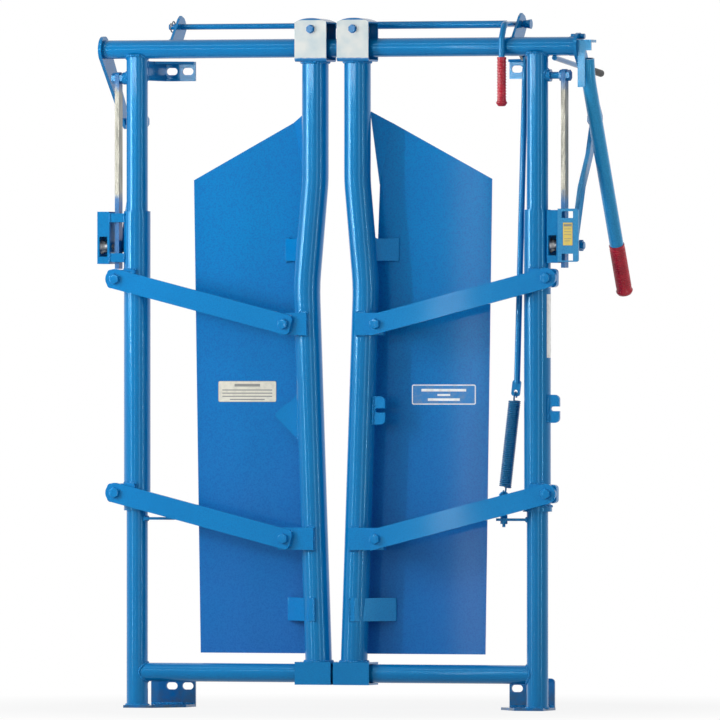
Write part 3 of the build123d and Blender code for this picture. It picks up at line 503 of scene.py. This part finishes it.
def drawn_wire(line: Sequence[Vector], radius: float) -> bmesh.types.BMesh:
    """Round wire along a line of points.

    Args:
        line: points of the centre line.
        radius: radius of the wire.

    Returns:
        The wire, closed at both ends.
    """
    curve = bpy.data.curves.new("wire_line", "CURVE")
    curve.dimensions = "3D"
    curve.bevel_depth = radius
    curve.bevel_resolution = 3
    curve.use_fill_caps = True
    spline = curve.splines.new("POLY")
    spline.points.add(len(line) - 1)
    for point, spot in zip(spline.points, line):
        point.co = (*spot, 1)
    holder = bpy.data.objects.new("wire_holder", curve)
    bpy.context.scene.collection.objects.link(holder)
    shape = bmesh.new()
    mesh = bpy.data.meshes.new_from_object(holder.evaluated_get(bpy.context.evaluated_depsgraph_get()))
    shape.from_mesh(mesh)
    bpy.data.objects.remove(holder)
    bpy.data.meshes.remove(mesh)
    bmesh.ops.remove_doubles(shape, verts=shape.verts, dist=1e-6)
    return shape


def joined(shape: bmesh.types.BMesh, part: bmesh.types.BMesh) -> bmesh.types.BMesh:
    """Add one shape to another and return the sum; the added one is used up."""
    mesh = bpy.data.meshes.new("scratch")
    part.to_mesh(mesh)
    part.free()
    shape.from_mesh(mesh)
    bpy.data.meshes.remove(mesh)
    return shape


# Welds


def straight(first: Sequence[float], last: Sequence[float]) -> list[Vector]:
    """Straight weld line between two points in millimetres."""
    return [Vector(first) * MM, Vector(last) * MM]


def circle_run(centre: Sequence[float], axis: str, radius: float, start: float = 0.0,
               end: float = 360.0) -> list[Vector]:
    """Weld line on an arc.

    Args:
        centre: centre in millimetres.
        axis: X, Y or Z, the axis that the arc goes round.
        radius: radius in millimetres.
        start: first angle in degrees.
        end: last angle in degrees.

    Returns:
        Points on the arc, in metres.
    """
    frames = {"X": ((0, 1, 0), (0, 0, 1)), "Y": ((1, 0, 0), (0, 0, 1)), "Z": ((1, 0, 0), (0, 1, 0))}
    first, second = (Vector(v) for v in frames[axis])
    count = max(6, int(abs(end - start) / 7))
    angles = [math.radians(start + (end - start) * i / count) for i in range(count + 1)]
    return [(Vector(centre) + radius * (math.cos(a) * first + math.sin(a) * second)) * MM for a in angles]


def stations(run: Sequence[Vector], pitch: float) -> Iterable[tuple[Vector, Vector]]:
    """Points at an even pitch along a line of points, each with its direction."""
    left = pitch / 2
    for first, last in zip(run, run[1:]):
        step = last - first
        while left <= step.length:
            yield first + step * (left / step.length), step.normalized()
            left += pitch
        left -= step.length


@dataclass
class Welder:
    """Lays rippled weld beads along lines and makes one piece of them per body."""

    finish: Material
    radius: float = 3.1 * MM
    pitch: float = 3.2 * MM
    seed: int = 7

    def lay(self, name: str, body: str, slot: str, runs: Sequence[Sequence[Vector]]) -> Object:
        """Make the beads of one body.

        Args:
            name: name of the piece.
            body: body that it moves with.
            slot: name passed on to make_piece.
            runs: weld lines.

        Returns:
            The piece.
        """
        chance = random.Random(self.seed + len(name))
        shape = bmesh.new()
        for run in runs:
            for point, along in stations(run, self.pitch):
                size = self.radius * chance.uniform(0.82, 1.18)
                shift = Vector([chance.uniform(-1, 1) for _ in range(3)]) * 0.35 * MM
                turn = Vector((1, 0, 0)).rotation_difference(along).to_matrix().to_4x4()
                scale = Matrix.Diagonal((0.8, 1, 1, 1))
                bmesh.ops.create_icosphere(shape, subdivisions=2, radius=size,
                                           matrix=Matrix.Translation(point + shift) @ turn @ scale)
        return make_piece(shape, name, [self.finish], body, slot, sharp=80)


@dataclass
class FrameWelds:
    """Weld lines of the fixed frame, in millimetres."""

    post_x: float = POST_X / MM
    tube_y: float = TUBE_Y / MM
    top_z: float = TOP_Z / MM
    bottom_z: float = BOTTOM_Z / MM
    floor: float = FLOOR / MM
    post_radius: float = POST_RADIUS / MM
    rail_radius: float = RAIL_RADIUS / MM
    saddle_lap: float = 7.0
    bracket_low: float = 1368.0
    bracket_high: float = 1412.0
    boss_radius: float = 14.0
    boss_z: float = 1373.0
    boss_arc: tuple[float, float] = (-25.0, 205.0)

    def saddle(self, side: Side) -> list[Vector]:
        """Line where a post meets the underside of the top rail."""
        points = []
        for step in range(49):
            angle = math.tau * step / 48
            across = self.post_radius * math.sin(angle)
            rise = math.sqrt(max(self.rail_radius ** 2 - across ** 2, 0.0))
            z = min(self.top_z - rise, self.top_z - self.rail_radius + self.saddle_lap)
            points.append(Vector((side.value * self.post_x + self.post_radius * math.cos(angle),
                                  self.tube_y + across, z)) * MM)
        return points

    def ring_on_post(self, side: Side, inner: bool, radius: float, z: float, start: float = 0.0,
                     end: float = 360.0) -> list[Vector]:
        """Line where a round bar along X meets a post.

        Args:
            side: side of the gate.
            inner: whether the bar is on the side of the doors.
            radius: radius of the bar.
            z: height of the bar.
            start: first angle in degrees, from the back.
            end: last angle in degrees.

        Returns:
            Points on the line, in metres.
        """
        points = []
        for step in range(41):
            angle = math.radians(start + (end - start) * step / 40)
            back = radius * math.cos(angle)
            reach = math.sqrt(self.post_radius ** 2 - back ** 2) * (-1 if inner else 1)
            points.append(Vector((side.value * (self.post_x + reach), self.tube_y + back,
                                  z + radius * math.sin(angle))) * MM)
        return points

    def runs(self) -> list[list[Vector]]:
        """All weld lines of the frame."""
        lines = []
        for side in Side:
            s, x, y = side.value, side.value * self.post_x, self.tube_y
            lines.append(self.saddle(side))
            lines.append(self.ring_on_post(side, True, self.rail_radius, self.bottom_z))
            lines.append(self.ring_on_post(side, False, self.boss_radius, self.boss_z, *self.boss_arc))
            lines.append(circle_run((x, y, self.floor + 6), "Z", self.post_radius + 0.5))
            lines.append(straight((s * 376, -7, self.floor + 7), (s * 478, -7, self.floor + 7)))
            lines.append(straight((s * 463.4, y + 20.5, self.bracket_low),
                                  (s * 463.4, y + 20.5, self.bracket_high)))
            lines.append(straight((s * 455.8, y + 16.2, self.bracket_low),
                                  (s * 455.8, y + 16.2, self.bracket_high)))
            middle = 180 if side is Side.RIGHT else 0
            for z in (BRACKET_Z / MM, BRACKET_Z / MM - 6):
                lines.append(circle_run((x, y, z), "Z", self.post_radius + 0.4, middle - 34, middle + 34))
            ear = -400.0 if side is Side.LEFT else 410.0
            for face in (ear - 0.4, ear + 6.4):
                lines.append(circle_run((face, y, self.top_z), "X", self.rail_radius + 0.3, -38, 74))
        return lines


@dataclass
class SleeveWelds:
    """Weld lines of one sleeve, in millimetres."""

    side: Side
    lug_heights: tuple[float, float] = (920.0, 438.0)
    lug_inner_x: float = 467.0
    chain_lug_z: float = 628.0
    box_low: float = 954.0
    box_high: float = 1072.0

    def lug_edge(self, z: float) -> list[Vector]:
        """Line along the top or bottom edge of a lug, on the sleeve's round front."""
        radius = SLEEVE_RADIUS / MM
        points = []
        for step in range(9):
            x = self.lug_inner_x + step * 4
            back = math.sqrt(radius ** 2 - (x - POST_X / MM) ** 2)
            points.append(Vector((self.side.value * x, TUBE_Y / MM - back - 0.5, z)) * MM)
        return points

    def runs(self) -> list[list[Vector]]:
        """All weld lines of the sleeve."""
        s, y = self.side.value, TUBE_Y / MM
        lines = []
        for z in self.lug_heights:
            lines.append(straight((s * self.lug_inner_x, y - 31.5, z - 20),
                                  (s * self.lug_inner_x, y - 31.5, z + 20)))
            lines.append(self.lug_edge(z + 21.5))
            lines.append(self.lug_edge(z - 21.5))
        if self.side is Side.RIGHT:
            lines.append(straight((503.8, y - 12.5, self.chain_lug_z - 30),
                                  (503.8, y - 12.5, self.chain_lug_z + 30)))
            lines.append(straight((503.4, y - 12, self.box_low), (503.4, y - 12, self.box_high)))
            lines.append(circle_run((475, y, 410.3), "Z", 31.2))
        else:
            for low in (self.box_low + 4, self.box_high - 24):
                lines.append(straight((-498.6, y - 21, low), (-498.6, y - 21, low + 20)))
                lines.append(straight((-533.0, y - 21, low), (-533.0, y - 21, low + 20)))
        return lines


@dataclass
class DoorWelds:
    """Weld lines of one door, in millimetres."""

    side: Side
    neck_top: float = 1407.0
    slide_top: float = 59.1
    neck_top_x: float = 50.0
    neck_foot_x: float = 42.0
    upper_tab: tuple[float, float] = (63.4, 985.0)
    lower_tab: tuple[float, float] = (46.0, 177.0)
    lug_places: tuple[tuple[float, float], ...] = ((57.6, 818.0), (41.4, 336.0))

    def runs(self) -> list[list[Vector]]:
        """All weld lines of the door."""
        s, y = self.side.value, TUBE_Y / MM
        radius = NECK_RADIUS / MM
        lines = [circle_run((s * self.neck_top_x, y, self.neck_top - 1), "Z", radius + 0.6),
                 circle_run((s * self.neck_foot_x, y, self.slide_top + 1), "Z", radius + 0.8)]
        x, z = self.upper_tab
        lines.append(straight((s * (x + 24), y + 17, z - 25), (s * (x + 24), y + 17, z + 25)))
        lines.append(straight((s * (x + 70), y + 40.5, z - 25), (s * (x + 70), y + 40.5, z + 25)))
        for edge in (z - 25, z + 25):
            lines.append(straight((s * (x + 60), y + 39, edge), (s * (x + 71), y + 41, edge)))
        x, z = self.lower_tab
        lines.append(straight((s * (x - 4), y - 31.5, z - 26), (s * (x - 4), y - 31.5, z + 26)))
        lines.append(straight((s * (x + 81), y + 40.5, z - 26), (s * (x + 81), y + 40.5, z + 26)))
        for x, z in self.lug_places:
            lines.append(straight((s * x, y - 31.5, z - 25), (s * x, y - 31.5, z + 25)))
            for edge in (z - 25.5, z + 25.5):
                lines.append(straight((s * x, y - 31, edge), (s * (x + 22), y - 28.5, edge)))
        if self.side is Side.LEFT:
            lines.append(straight((-91.5, y + 3, 558), (-92.5, y + 3, 668)))
        else:
            lines.append(straight((90.2, y - 12.5, 594), (91.8, y - 12.5, 655)))
        return lines


# Moving details


@dataclass
class Grips:
    """The two ribbed grips."""

    finish: Material
    lever_start: Vector = field(default_factory=lambda: Vector((0.590875, 0.10535, 0.99644)))
    lever_along: Vector = field(default_factory=lambda: Vector((0, 0.48949, -0.87201)))
    lever_length: float = 126 * MM
    small_start: Vector = field(default_factory=lambda: Vector((0.400, -0.14115, 1.414)))
    small_length: float = 110 * MM

    def profile(self, length: float, bore: float, radius: float, flare: float, ribs: int,
                depth: float) -> list[tuple[float, float]]:
        """Half outline of a ribbed grip.

        Args:
            length: whole length.
            bore: radius of the bar inside.
            radius: body radius.
            flare: extra radius at the end.
            ribs: number of ribs.
            depth: rib height.

        Returns:
            Radius and distance pairs, from the bore at the open end to the closed tip.
        """
        points = [(bore, 0.0), (radius - 0.6 * MM, 0.0), (radius, 0.7 * MM), (radius, 4 * MM)]
        start, stop = 7 * MM, length - 19 * MM
        pitch = (stop - start) / ribs
        for rib in range(ribs):
            base = start + rib * pitch
            points += [(radius - depth, base), (radius - depth, base + 0.34 * pitch),
                       (radius + 0.1 * MM, base + 0.5 * pitch), (radius + 0.1 * MM, base + 0.84 * pitch)]
        points += [(radius - depth, stop), (radius - 0.2 * MM, stop + 3 * MM)]
        for step in range(7):
            angle = math.pi * step / 6
            points.append((radius + flare * math.sin(angle), length - 12 * MM + 8 * MM * step / 6))
        points += [(radius - 1.5 * MM, length - 1.4 * MM), (radius - 4 * MM, length), (0.0, length)]
        return points

    def build(self) -> None:
        """Make both grips."""
        lever = turned(self.profile(self.lever_length, 15.9 * MM, 17.6 * MM, 1.6 * MM, 21, 0.9 * MM),
                       self.lever_start, self.lever_along)
        make_piece(lever, "ribbed_lever_grip", [self.finish], "shaft", "lever_grip", ["lever_grip"])
        small = turned(self.profile(self.small_length, 6.8 * MM, 10.4 * MM, 2.2 * MM, 13, 1.0 * MM),
                       self.small_start, Vector((0, 0, -1)))
        make_piece(small, "ribbed_selector_grip", [self.finish], "selector", "selector_grip",
                   ["selector_grip"])


@dataclass
class ReturnSpring:
    """Close-wound spring with a hook at each end, stretched between the frame and the spring rod."""

    finish: Material
    wire: float = 3.9 * MM
    coil_radius: float = 12.2 * MM
    pitch: float = 4.2 * MM
    turns: int = 46
    hook_radius: float = 8 * MM
    hook_rise: float = 6 * MM
    seat: float = 22.4 * MM
    foot: Vector = field(default_factory=lambda: Vector((0.396, -0.111, 0.431)))
    top: Vector = field(default_factory=lambda: Vector((0.423, -0.111, 0.666)))
    steps_per_turn: int = 24

    def hook(self, base: float, way: int) -> list[Vector]:
        """Centre line of one hook, from the coil outwards."""
        half = self.coil_radius / 2
        points = []
        for step in range(1, 13):
            angle = math.pi * step / 12
            points.append(Vector((half + half * math.cos(angle), way * half * math.sin(angle), base)))
        for step in range(1, 7):
            angle = math.pi / 2 * step / 6
            points.append(Vector((0, -way * self.hook_rise * math.sin(angle),
                                  base + way * self.hook_rise * (1 - math.cos(angle)))))
        loop_y = way * (self.hook_radius - self.hook_rise)
        loop_z = base + way * 2 * self.hook_rise
        for step in range(22):
            angle = math.radians(10 * step)
            points.append(Vector((0, loop_y - way * self.hook_radius * math.cos(angle),
                                  loop_z + way * self.hook_radius * math.sin(angle))))
        return points

    def build(self) -> Object:
        """Make the spring along the line from its foot towards its top."""
        length = self.pitch * self.turns
        count = self.turns * self.steps_per_turn
        line = list(reversed(self.hook(0.0, -1)))
        for step in range(count + 1):
            angle = math.tau * step / self.steps_per_turn
            line.append(Vector((self.coil_radius * math.cos(angle), self.coil_radius * math.sin(angle),
                                length * step / count)))
        line += self.hook(length, 1)
        lean = (self.top - self.foot).normalized()
        across = Vector((lean.z, 0, -lean.x))
        turn = Matrix((across, lean.cross(across), lean)).transposed().to_4x4()
        place = Matrix.Translation(self.foot + lean * self.seat) @ turn
        shape = drawn_wire([place @ spot for spot in line], self.wire / 2)
        piece = make_piece(shape, "return_coil", [self.finish], None, "return_spring",
                           ["return_spring"])
        tuple(self.foot)
        tuple(self.top)
        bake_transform(piece)
        return piece


@dataclass
class WireClip:
    """Round wire clip through the end of the selector rod, lapped like a key ring."""

    finish: Material
    wire: float = 3.0 * MM
    loop_radius: float = 12 * MM
    lap: float = 1.8 * MM
    turn: float = 400.0
    centre: Vector = field(default_factory=lambda: Vector((-0.412, -0.049, 1.490)))

    def build(self) -> Object:
        """Make the clip."""
        line = []
        for step in range(81):
            angle = math.radians(140 + self.turn * step / 80)
            drift = self.lap * math.tanh(6 * (step / 80 - 0.5))
            line.append(self.centre + Vector((drift, self.loop_radius * math.cos(angle),
                                              self.loop_radius * math.sin(angle))))
        shape = drawn_wire(line, self.wire / 2)
        return make_piece(shape, "wire_clip", [self.finish], "selector", "retaining_clip",
                          ["retaining_clip"])


@dataclass
class ArmBolts:
    """Rounded hexagon bolts through the ends of one arm."""

    side: Side
    level: str
    pivot_z: float
    finish: Material
    outer_x: float = 511 * MM
    inner_x: float = 109 * MM
    rise: float = 102 * MM
    front: float = -164.0 * MM
    back: float = -154.0 * MM

    def head(self, shape: bmesh.types.BMesh, place: Vector) -> None:
        """Add one washer-faced head, facing the front."""
        hexagon = bmesh.new()
        bmesh.ops.create_cone(hexagon, cap_ends=True, segments=6, radius1=12.4 * MM, radius2=12.4 * MM,
                              depth=8 * MM, matrix=Matrix.Translation((0, 0, 5 * MM)))
        uprights = [e for e in hexagon.edges if abs(e.verts[0].co.z - e.verts[1].co.z) > 1 * MM]
        bmesh.ops.bevel(hexagon, geom=uprights, offset=1.2 * MM, segments=2, profile=0.5, affect="EDGES",
                        material=-1)
        top = [e for e in hexagon.edges if min(v.co.z for v in e.verts) > 8.5 * MM]
        bmesh.ops.bevel(hexagon, geom=top, offset=1.9 * MM, segments=3, profile=0.5, affect="EDGES",
                        material=-1)
        bmesh.ops.create_cone(hexagon, cap_ends=True, segments=36, radius1=12.3 * MM, radius2=12.0 * MM,
                              depth=1.2 * MM, matrix=Matrix.Translation((0, 0, 0.6 * MM)))
        bmesh.ops.transform(hexagon, matrix=Matrix.Translation(place) @ Matrix.Rotation(math.pi / 2, 4, "X"),
                            verts=hexagon.verts)
        joined(shape, hexagon)

    def build(self) -> Object:
        """Make the two bolts of the arm."""
        s = self.side.value
        shape = bmesh.new()
        for x, z, reach in ((self.outer_x, self.pivot_z, 11 * MM),
                            (self.inner_x, self.pivot_z - self.rise, 0.0)):
            self.head(shape, Vector((s * x, self.front, z)))
            turned([(0, 0), (8 * MM, 0), (8 * MM, 10 * MM + reach), (0, 10 * MM + reach)],
                   Vector((s * x, self.front, z)), Vector((0, 1, 0)), 32, shape)
        name = f"{self.side.word}_{self.level}_arm"
        return make_piece(shape, f"{name}_hex_bolts", [self.finish], name, f"{name}_bolts",
                          [f"{name}_bolts"])


@dataclass
class Label:
    """Flat label with rounded corners and a border, on a face that looks to the front."""

    name: str
    body: str
    slot: str
    left: float
    right: float
    low: float
    high: float
    face_y: float
    film: Material
    border_film: Material
    corner: float = 4 * MM
    border: float = 3 * MM
    thickness: float = 0.4 * MM
    bars: tuple[tuple[float, float, float], ...] = ()

    def bar(self, shape: bmesh.types.BMesh, height: float, thick: float, width: float) -> None:
        """Add one printed bar, centred, by its height, thickness and width as shares of the label."""
        wide, tall = self.right - self.left, self.high - self.low
        part = bmesh.new()
        bmesh.ops.create_grid(part, x_segments=1, y_segments=1, size=0.5)
        bmesh.ops.scale(part, vec=(wide * width, tall * thick, 1), verts=part.verts)
        bmesh.ops.solidify(part, geom=list(part.faces), thickness=0.1 * MM)
        bmesh.ops.translate(part, vec=(0, tall * (height - 0.5), self.thickness + 0.06 * MM),
                            verts=part.verts)
        for face in part.faces:
            face.material_index = 1
        joined(shape, part)

    def build(self) -> Object:
        """Make the label."""
        shape = bmesh.new()
        bmesh.ops.create_grid(shape, x_segments=1, y_segments=1, size=0.5)
        bmesh.ops.scale(shape, vec=(self.right - self.left, self.high - self.low, 1), verts=shape.verts)
        bmesh.ops.bevel(shape, geom=list(shape.verts), offset=self.corner, segments=5, profile=0.5,
                        affect="VERTICES", material=-1)
        inner = list(shape.faces)
        bmesh.ops.inset_region(shape, faces=inner, thickness=self.border, depth=0.0,
                               use_boundary=True, use_even_offset=True)
        for face in shape.faces:
            face.material_index = 0 if face in inner else 1
        pushed = bmesh.ops.extrude_face_region(shape, geom=list(shape.faces))
        moved = [v for v in pushed["geom"] if isinstance(v, bmesh.types.BMVert)]
        bmesh.ops.translate(shape, vec=(0, 0, self.thickness), verts=moved)
        for height, thick, width in self.bars:
            self.bar(shape, height, thick, width)
        middle = Vector(((self.left + self.right) / 2, self.face_y, (self.low + self.high) / 2))
        bmesh.ops.transform(shape, matrix=Matrix.Translation(middle) @ Matrix.Rotation(math.pi / 2, 4, "X"),
                            verts=shape.verts)
        return make_piece(shape, self.name, [self.film, self.border_film], self.body, self.slot)


@dataclass
class SleeveLabel:
    """Curved blank label on the outer side of the right sleeve."""

    film: Material
    low: float = 742 * MM
    high: float = 884 * MM
    start: float = -28.0
    end: float = 22.0

    def build(self) -> Object:
        """Make the label."""
        shape = bmesh.new()
        radius = SLEEVE_RADIUS + 0.1 * MM
        ends = [shape.verts.new((radius, 0, z)) for z in (self.low, self.high)]
        edge = shape.edges.new(ends)
        turn = Matrix.Rotation(math.radians(self.start), 3, "Z")
        bmesh.ops.rotate(shape, cent=(0, 0, 0), matrix=turn, verts=ends)
        bmesh.ops.spin(shape, geom=ends + [edge], cent=(0, 0, 0), axis=(0, 0, 1), dvec=(0, 0, 0),
                       angle=math.radians(self.end - self.start), steps=14)
        bmesh.ops.recalc_face_normals(shape, faces=shape.faces)
        bmesh.ops.solidify(shape, geom=list(shape.faces), thickness=0.3 * MM)
        bmesh.ops.translate(shape, vec=(POST_X, TUBE_Y, 0), verts=shape.verts)
        return make_piece(shape, "sleeve_label", [self.film], "right_sleeve", "right_sleeve")


# Stage


@dataclass
class Stage:
    """Floor, light and camera."""

    camera_place: tuple[float, float, float] = (10.263, -30.113, 0.715)
    camera_yaw: float = 18.79
    camera_pitch: float = 0.04
    pixels: float = 720.0
    focal_pixels: float = 14117.0
    sensor: float = 36.0

    def floor(self) -> None:
        """Pale floor that keeps the shadow and fades to white away from the gate."""
        shape = bmesh.new()
        bmesh.ops.create_grid(shape, x_segments=2, y_segments=2, size=40)
        bmesh.ops.translate(shape, vec=(0, 0, FLOOR), verts=shape.verts)
        mesh = bpy.data.meshes.new("studio_floor")
        shape.to_mesh(mesh)
        shape.free()
        floor = bpy.data.objects.new("studio_floor", mesh)
        bpy.context.scene.collection.objects.link(floor)
        graph = Graph("floor_paper")
        tree = graph.tree
        graph.settle(Base_Color=(0.42, 0.42, 0.42, 1), Roughness=0.9, Specular_IOR_Level=0.1)
        ray = tree.nodes.new("ShaderNodeLightPath")
        seen = graph.sums("MAXIMUM", ray.outputs["Is Camera Ray"], ray.outputs["Is Glossy Ray"])
        length = tree.nodes.new("ShaderNodeVectorMath")
        length.operation = "LENGTH"
        tree.links.new(graph.place, length.inputs[0])
        share = graph.sums("MULTIPLY", seen, graph.band(length.outputs["Value"], 0.7, 1.5, 0.88, 1.0))
        glow = tree.nodes.new("ShaderNodeEmission")
        glow.inputs["Color"].default_value = (1, 1, 1, 1)
        blend = tree.nodes.new("ShaderNodeMixShader")
        tree.links.new(share, blend.inputs[0])
        tree.links.new(graph.shader.outputs[0], blend.inputs[1])
        tree.links.new(glow.outputs[0], blend.inputs[2])
        tree.links.new(blend.outputs[0], tree.nodes["Material Output"].inputs["Surface"])
        mesh.materials.append(graph.material)

    def world(self) -> None:
        """White behind the gate and an even grey light around it."""
        world = bpy.data.worlds.new("studio")
        bpy.context.scene.world = world
        world.use_nodes = True
        tree = world.node_tree
        ray = tree.nodes.new("ShaderNodeLightPath")
        even = tree.nodes["Background"]
        even.inputs["Color"].default_value = (0.2, 0.2, 0.2, 1)
        white = tree.nodes.new("ShaderNodeBackground")
        white.inputs["Color"].default_value = (1, 1, 1, 1)
        for ray_kind in ("Is Camera Ray", "Is Glossy Ray", "Is Transmission Ray"):
            blend = tree.nodes.new("ShaderNodeMixShader")
            tree.links.new(ray.outputs[ray_kind], blend.inputs[0])
            tree.links.new(even.outputs[0], blend.inputs[1])
            tree.links.new(white.outputs[0], blend.inputs[2])
            even = blend
        tree.links.new(even.outputs[0], tree.nodes["World Output"].inputs["Surface"])

    def lamp(self, name: str, azimuth: float, distance: float, height: float, size: Sequence[float],
             radiance: float, mirrored: bool = True) -> None:
        """Add one soft lamp that faces the gate's middle line.

        Args:
            name: name of the lamp.
            azimuth: degrees from the front, positive to the right.
            distance: metres from the middle.
            height: metres above the frame's origin.
            size: width and height in metres.
            radiance: brightness of its face.
            mirrored: whether shiny surfaces reflect it.
        """
        light = bpy.data.lights.new(name, "AREA")
        light.shape = "RECTANGLE"
        light.size, light.size_y = size
        light.energy = radiance * math.pi * size[0] * size[1]
        lamp = bpy.data.objects.new(name, light)
        turn = math.radians(azimuth)
        lamp.location = (distance * math.sin(turn), TUBE_Y - distance * math.cos(turn), height)
        lamp.rotation_euler = (math.pi / 2, 0, turn)
        lamp.visible_camera = False
        lamp.visible_glossy = mirrored
        bpy.context.scene.collection.objects.link(lamp)

    def camera(self) -> None:
        """Long-lens camera at the viewing angle of the photograph."""
        data = bpy.data.cameras.new("view")
        data.sensor_width = self.sensor
        data.lens = self.focal_pixels * self.sensor / self.pixels
        data.clip_end = 200
        camera = bpy.data.objects.new("view", data)
        camera.location = self.camera_place
        camera.rotation_euler = (math.radians(90 + self.camera_pitch), 0, math.radians(self.camera_yaw))
        bpy.context.scene.collection.objects.link(camera)
        bpy.context.scene.camera = camera

    def build(self) -> None:
        """Set up the stage."""
        self.floor()
        self.world()
        self.lamp("left_window", -60, 3.2, 1.6, (0.9, 1.5), 8.5)
        self.lamp("left_core", -49, 3.0, 1.6, (0.12, 1.7), 62.0)
        self.lamp("left_low", -41, 3.0, 0.25, (0.16, 1.3), 14.0)
        self.lamp("centre_strip", -13, 3.0, 0.8, (0.08, 3.2), 8.0)
        self.lamp("right_box", 33, 4.2, 1.1, (0.8, 2.8), 2.2)
        self.lamp("right_rim", 66, 3.0, 0.9, (0.08, 3.0), 24.0)
        self.lamp("rail_strip", -20, 3.0, 1.45, (2.6, 0.07), 20.0)
        self.lamp("high_box", -12, 3.0, 4.1, (3.2, 0.4), 7.0)
        self.lamp("rear_left", -145, 4.0, 1.4, (2.2, 2.4), 4.4, mirrored=False)
        self.lamp("rear_right", 140, 4.0, 1.4, (2.2, 2.4), 4.4, mirrored=False)
        self.camera()
        bpy.context.scene.view_settings.view_transform = "Standard"


def main() -> None:
    """Build the whole scene."""
    logging.basicConfig(level=logging.INFO)
    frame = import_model()
    finishes = Finishes()
    dress_nodes(frame["nodes"], finishes)
    welder = Welder(finishes.weld)
    welder.lay("frame_welds", "frame", "left_post", FrameWelds().runs())
    for side in Side:
        word = side.word
        welder.lay(f"{word}_sleeve_welds", f"{word}_sleeve", f"{word}_sleeve", SleeveWelds(side).runs())
        welder.lay(f"{word}_door_welds", f"{word}_door", f"{word}_neck_tube", DoorWelds(side).runs())
        for level, pivot_z in (("upper", UPPER_PIVOT_Z), ("lower", LOWER_PIVOT_Z)):
            ArmBolts(side, level, pivot_z, finishes.arm).build()
    Grips(finishes.red).build()
    ReturnSpring(finishes.spring).build()
    WireClip(finishes.steel).build()
    Label("left_panel_label", "left_door", "left_wing_panel", -0.2957, -0.1573, 0.6426, 0.6899,
          PANEL_LABEL_Y, finishes.cream, finishes.grey_film, border=0.8 * MM,
          bars=((0.8, 0.13, 0.44), (0.57, 0.05, 0.86), (0.42, 0.05, 0.86), (0.27, 0.05, 0.86),
                (0.12, 0.05, 0.6))).build()
    Label("right_panel_label", "right_door", "right_wing_panel", 0.165, 0.316, 0.637, 0.682,
          PANEL_LABEL_Y, finishes.blue_film, finishes.white, border=2.4 * MM,
          bars=((0.72, 0.13, 0.7), (0.48, 0.1, 0.2), (0.25, 0.13, 0.5))).build()
    Label("cover_label", "right_sleeve", "lock_cover", 0.5425, 0.5655, 0.9925, 1.044,
          COVER_LABEL_Y, finishes.yellow, finishes.grey_film, corner=1.5 * MM, border=0.6 * MM,
          bars=((0.88, 0.1, 0.8), (0.72, 0.02, 0.7), (0.6, 0.02, 0.7), (0.48, 0.02, 0.7), (0.3, 0.02, 0.7),
                (0.2, 0.02, 0.5))).build()
    SleeveLabel(finishes.white).build()
    Stage().build()


if __name__ == "__main__":
    main()
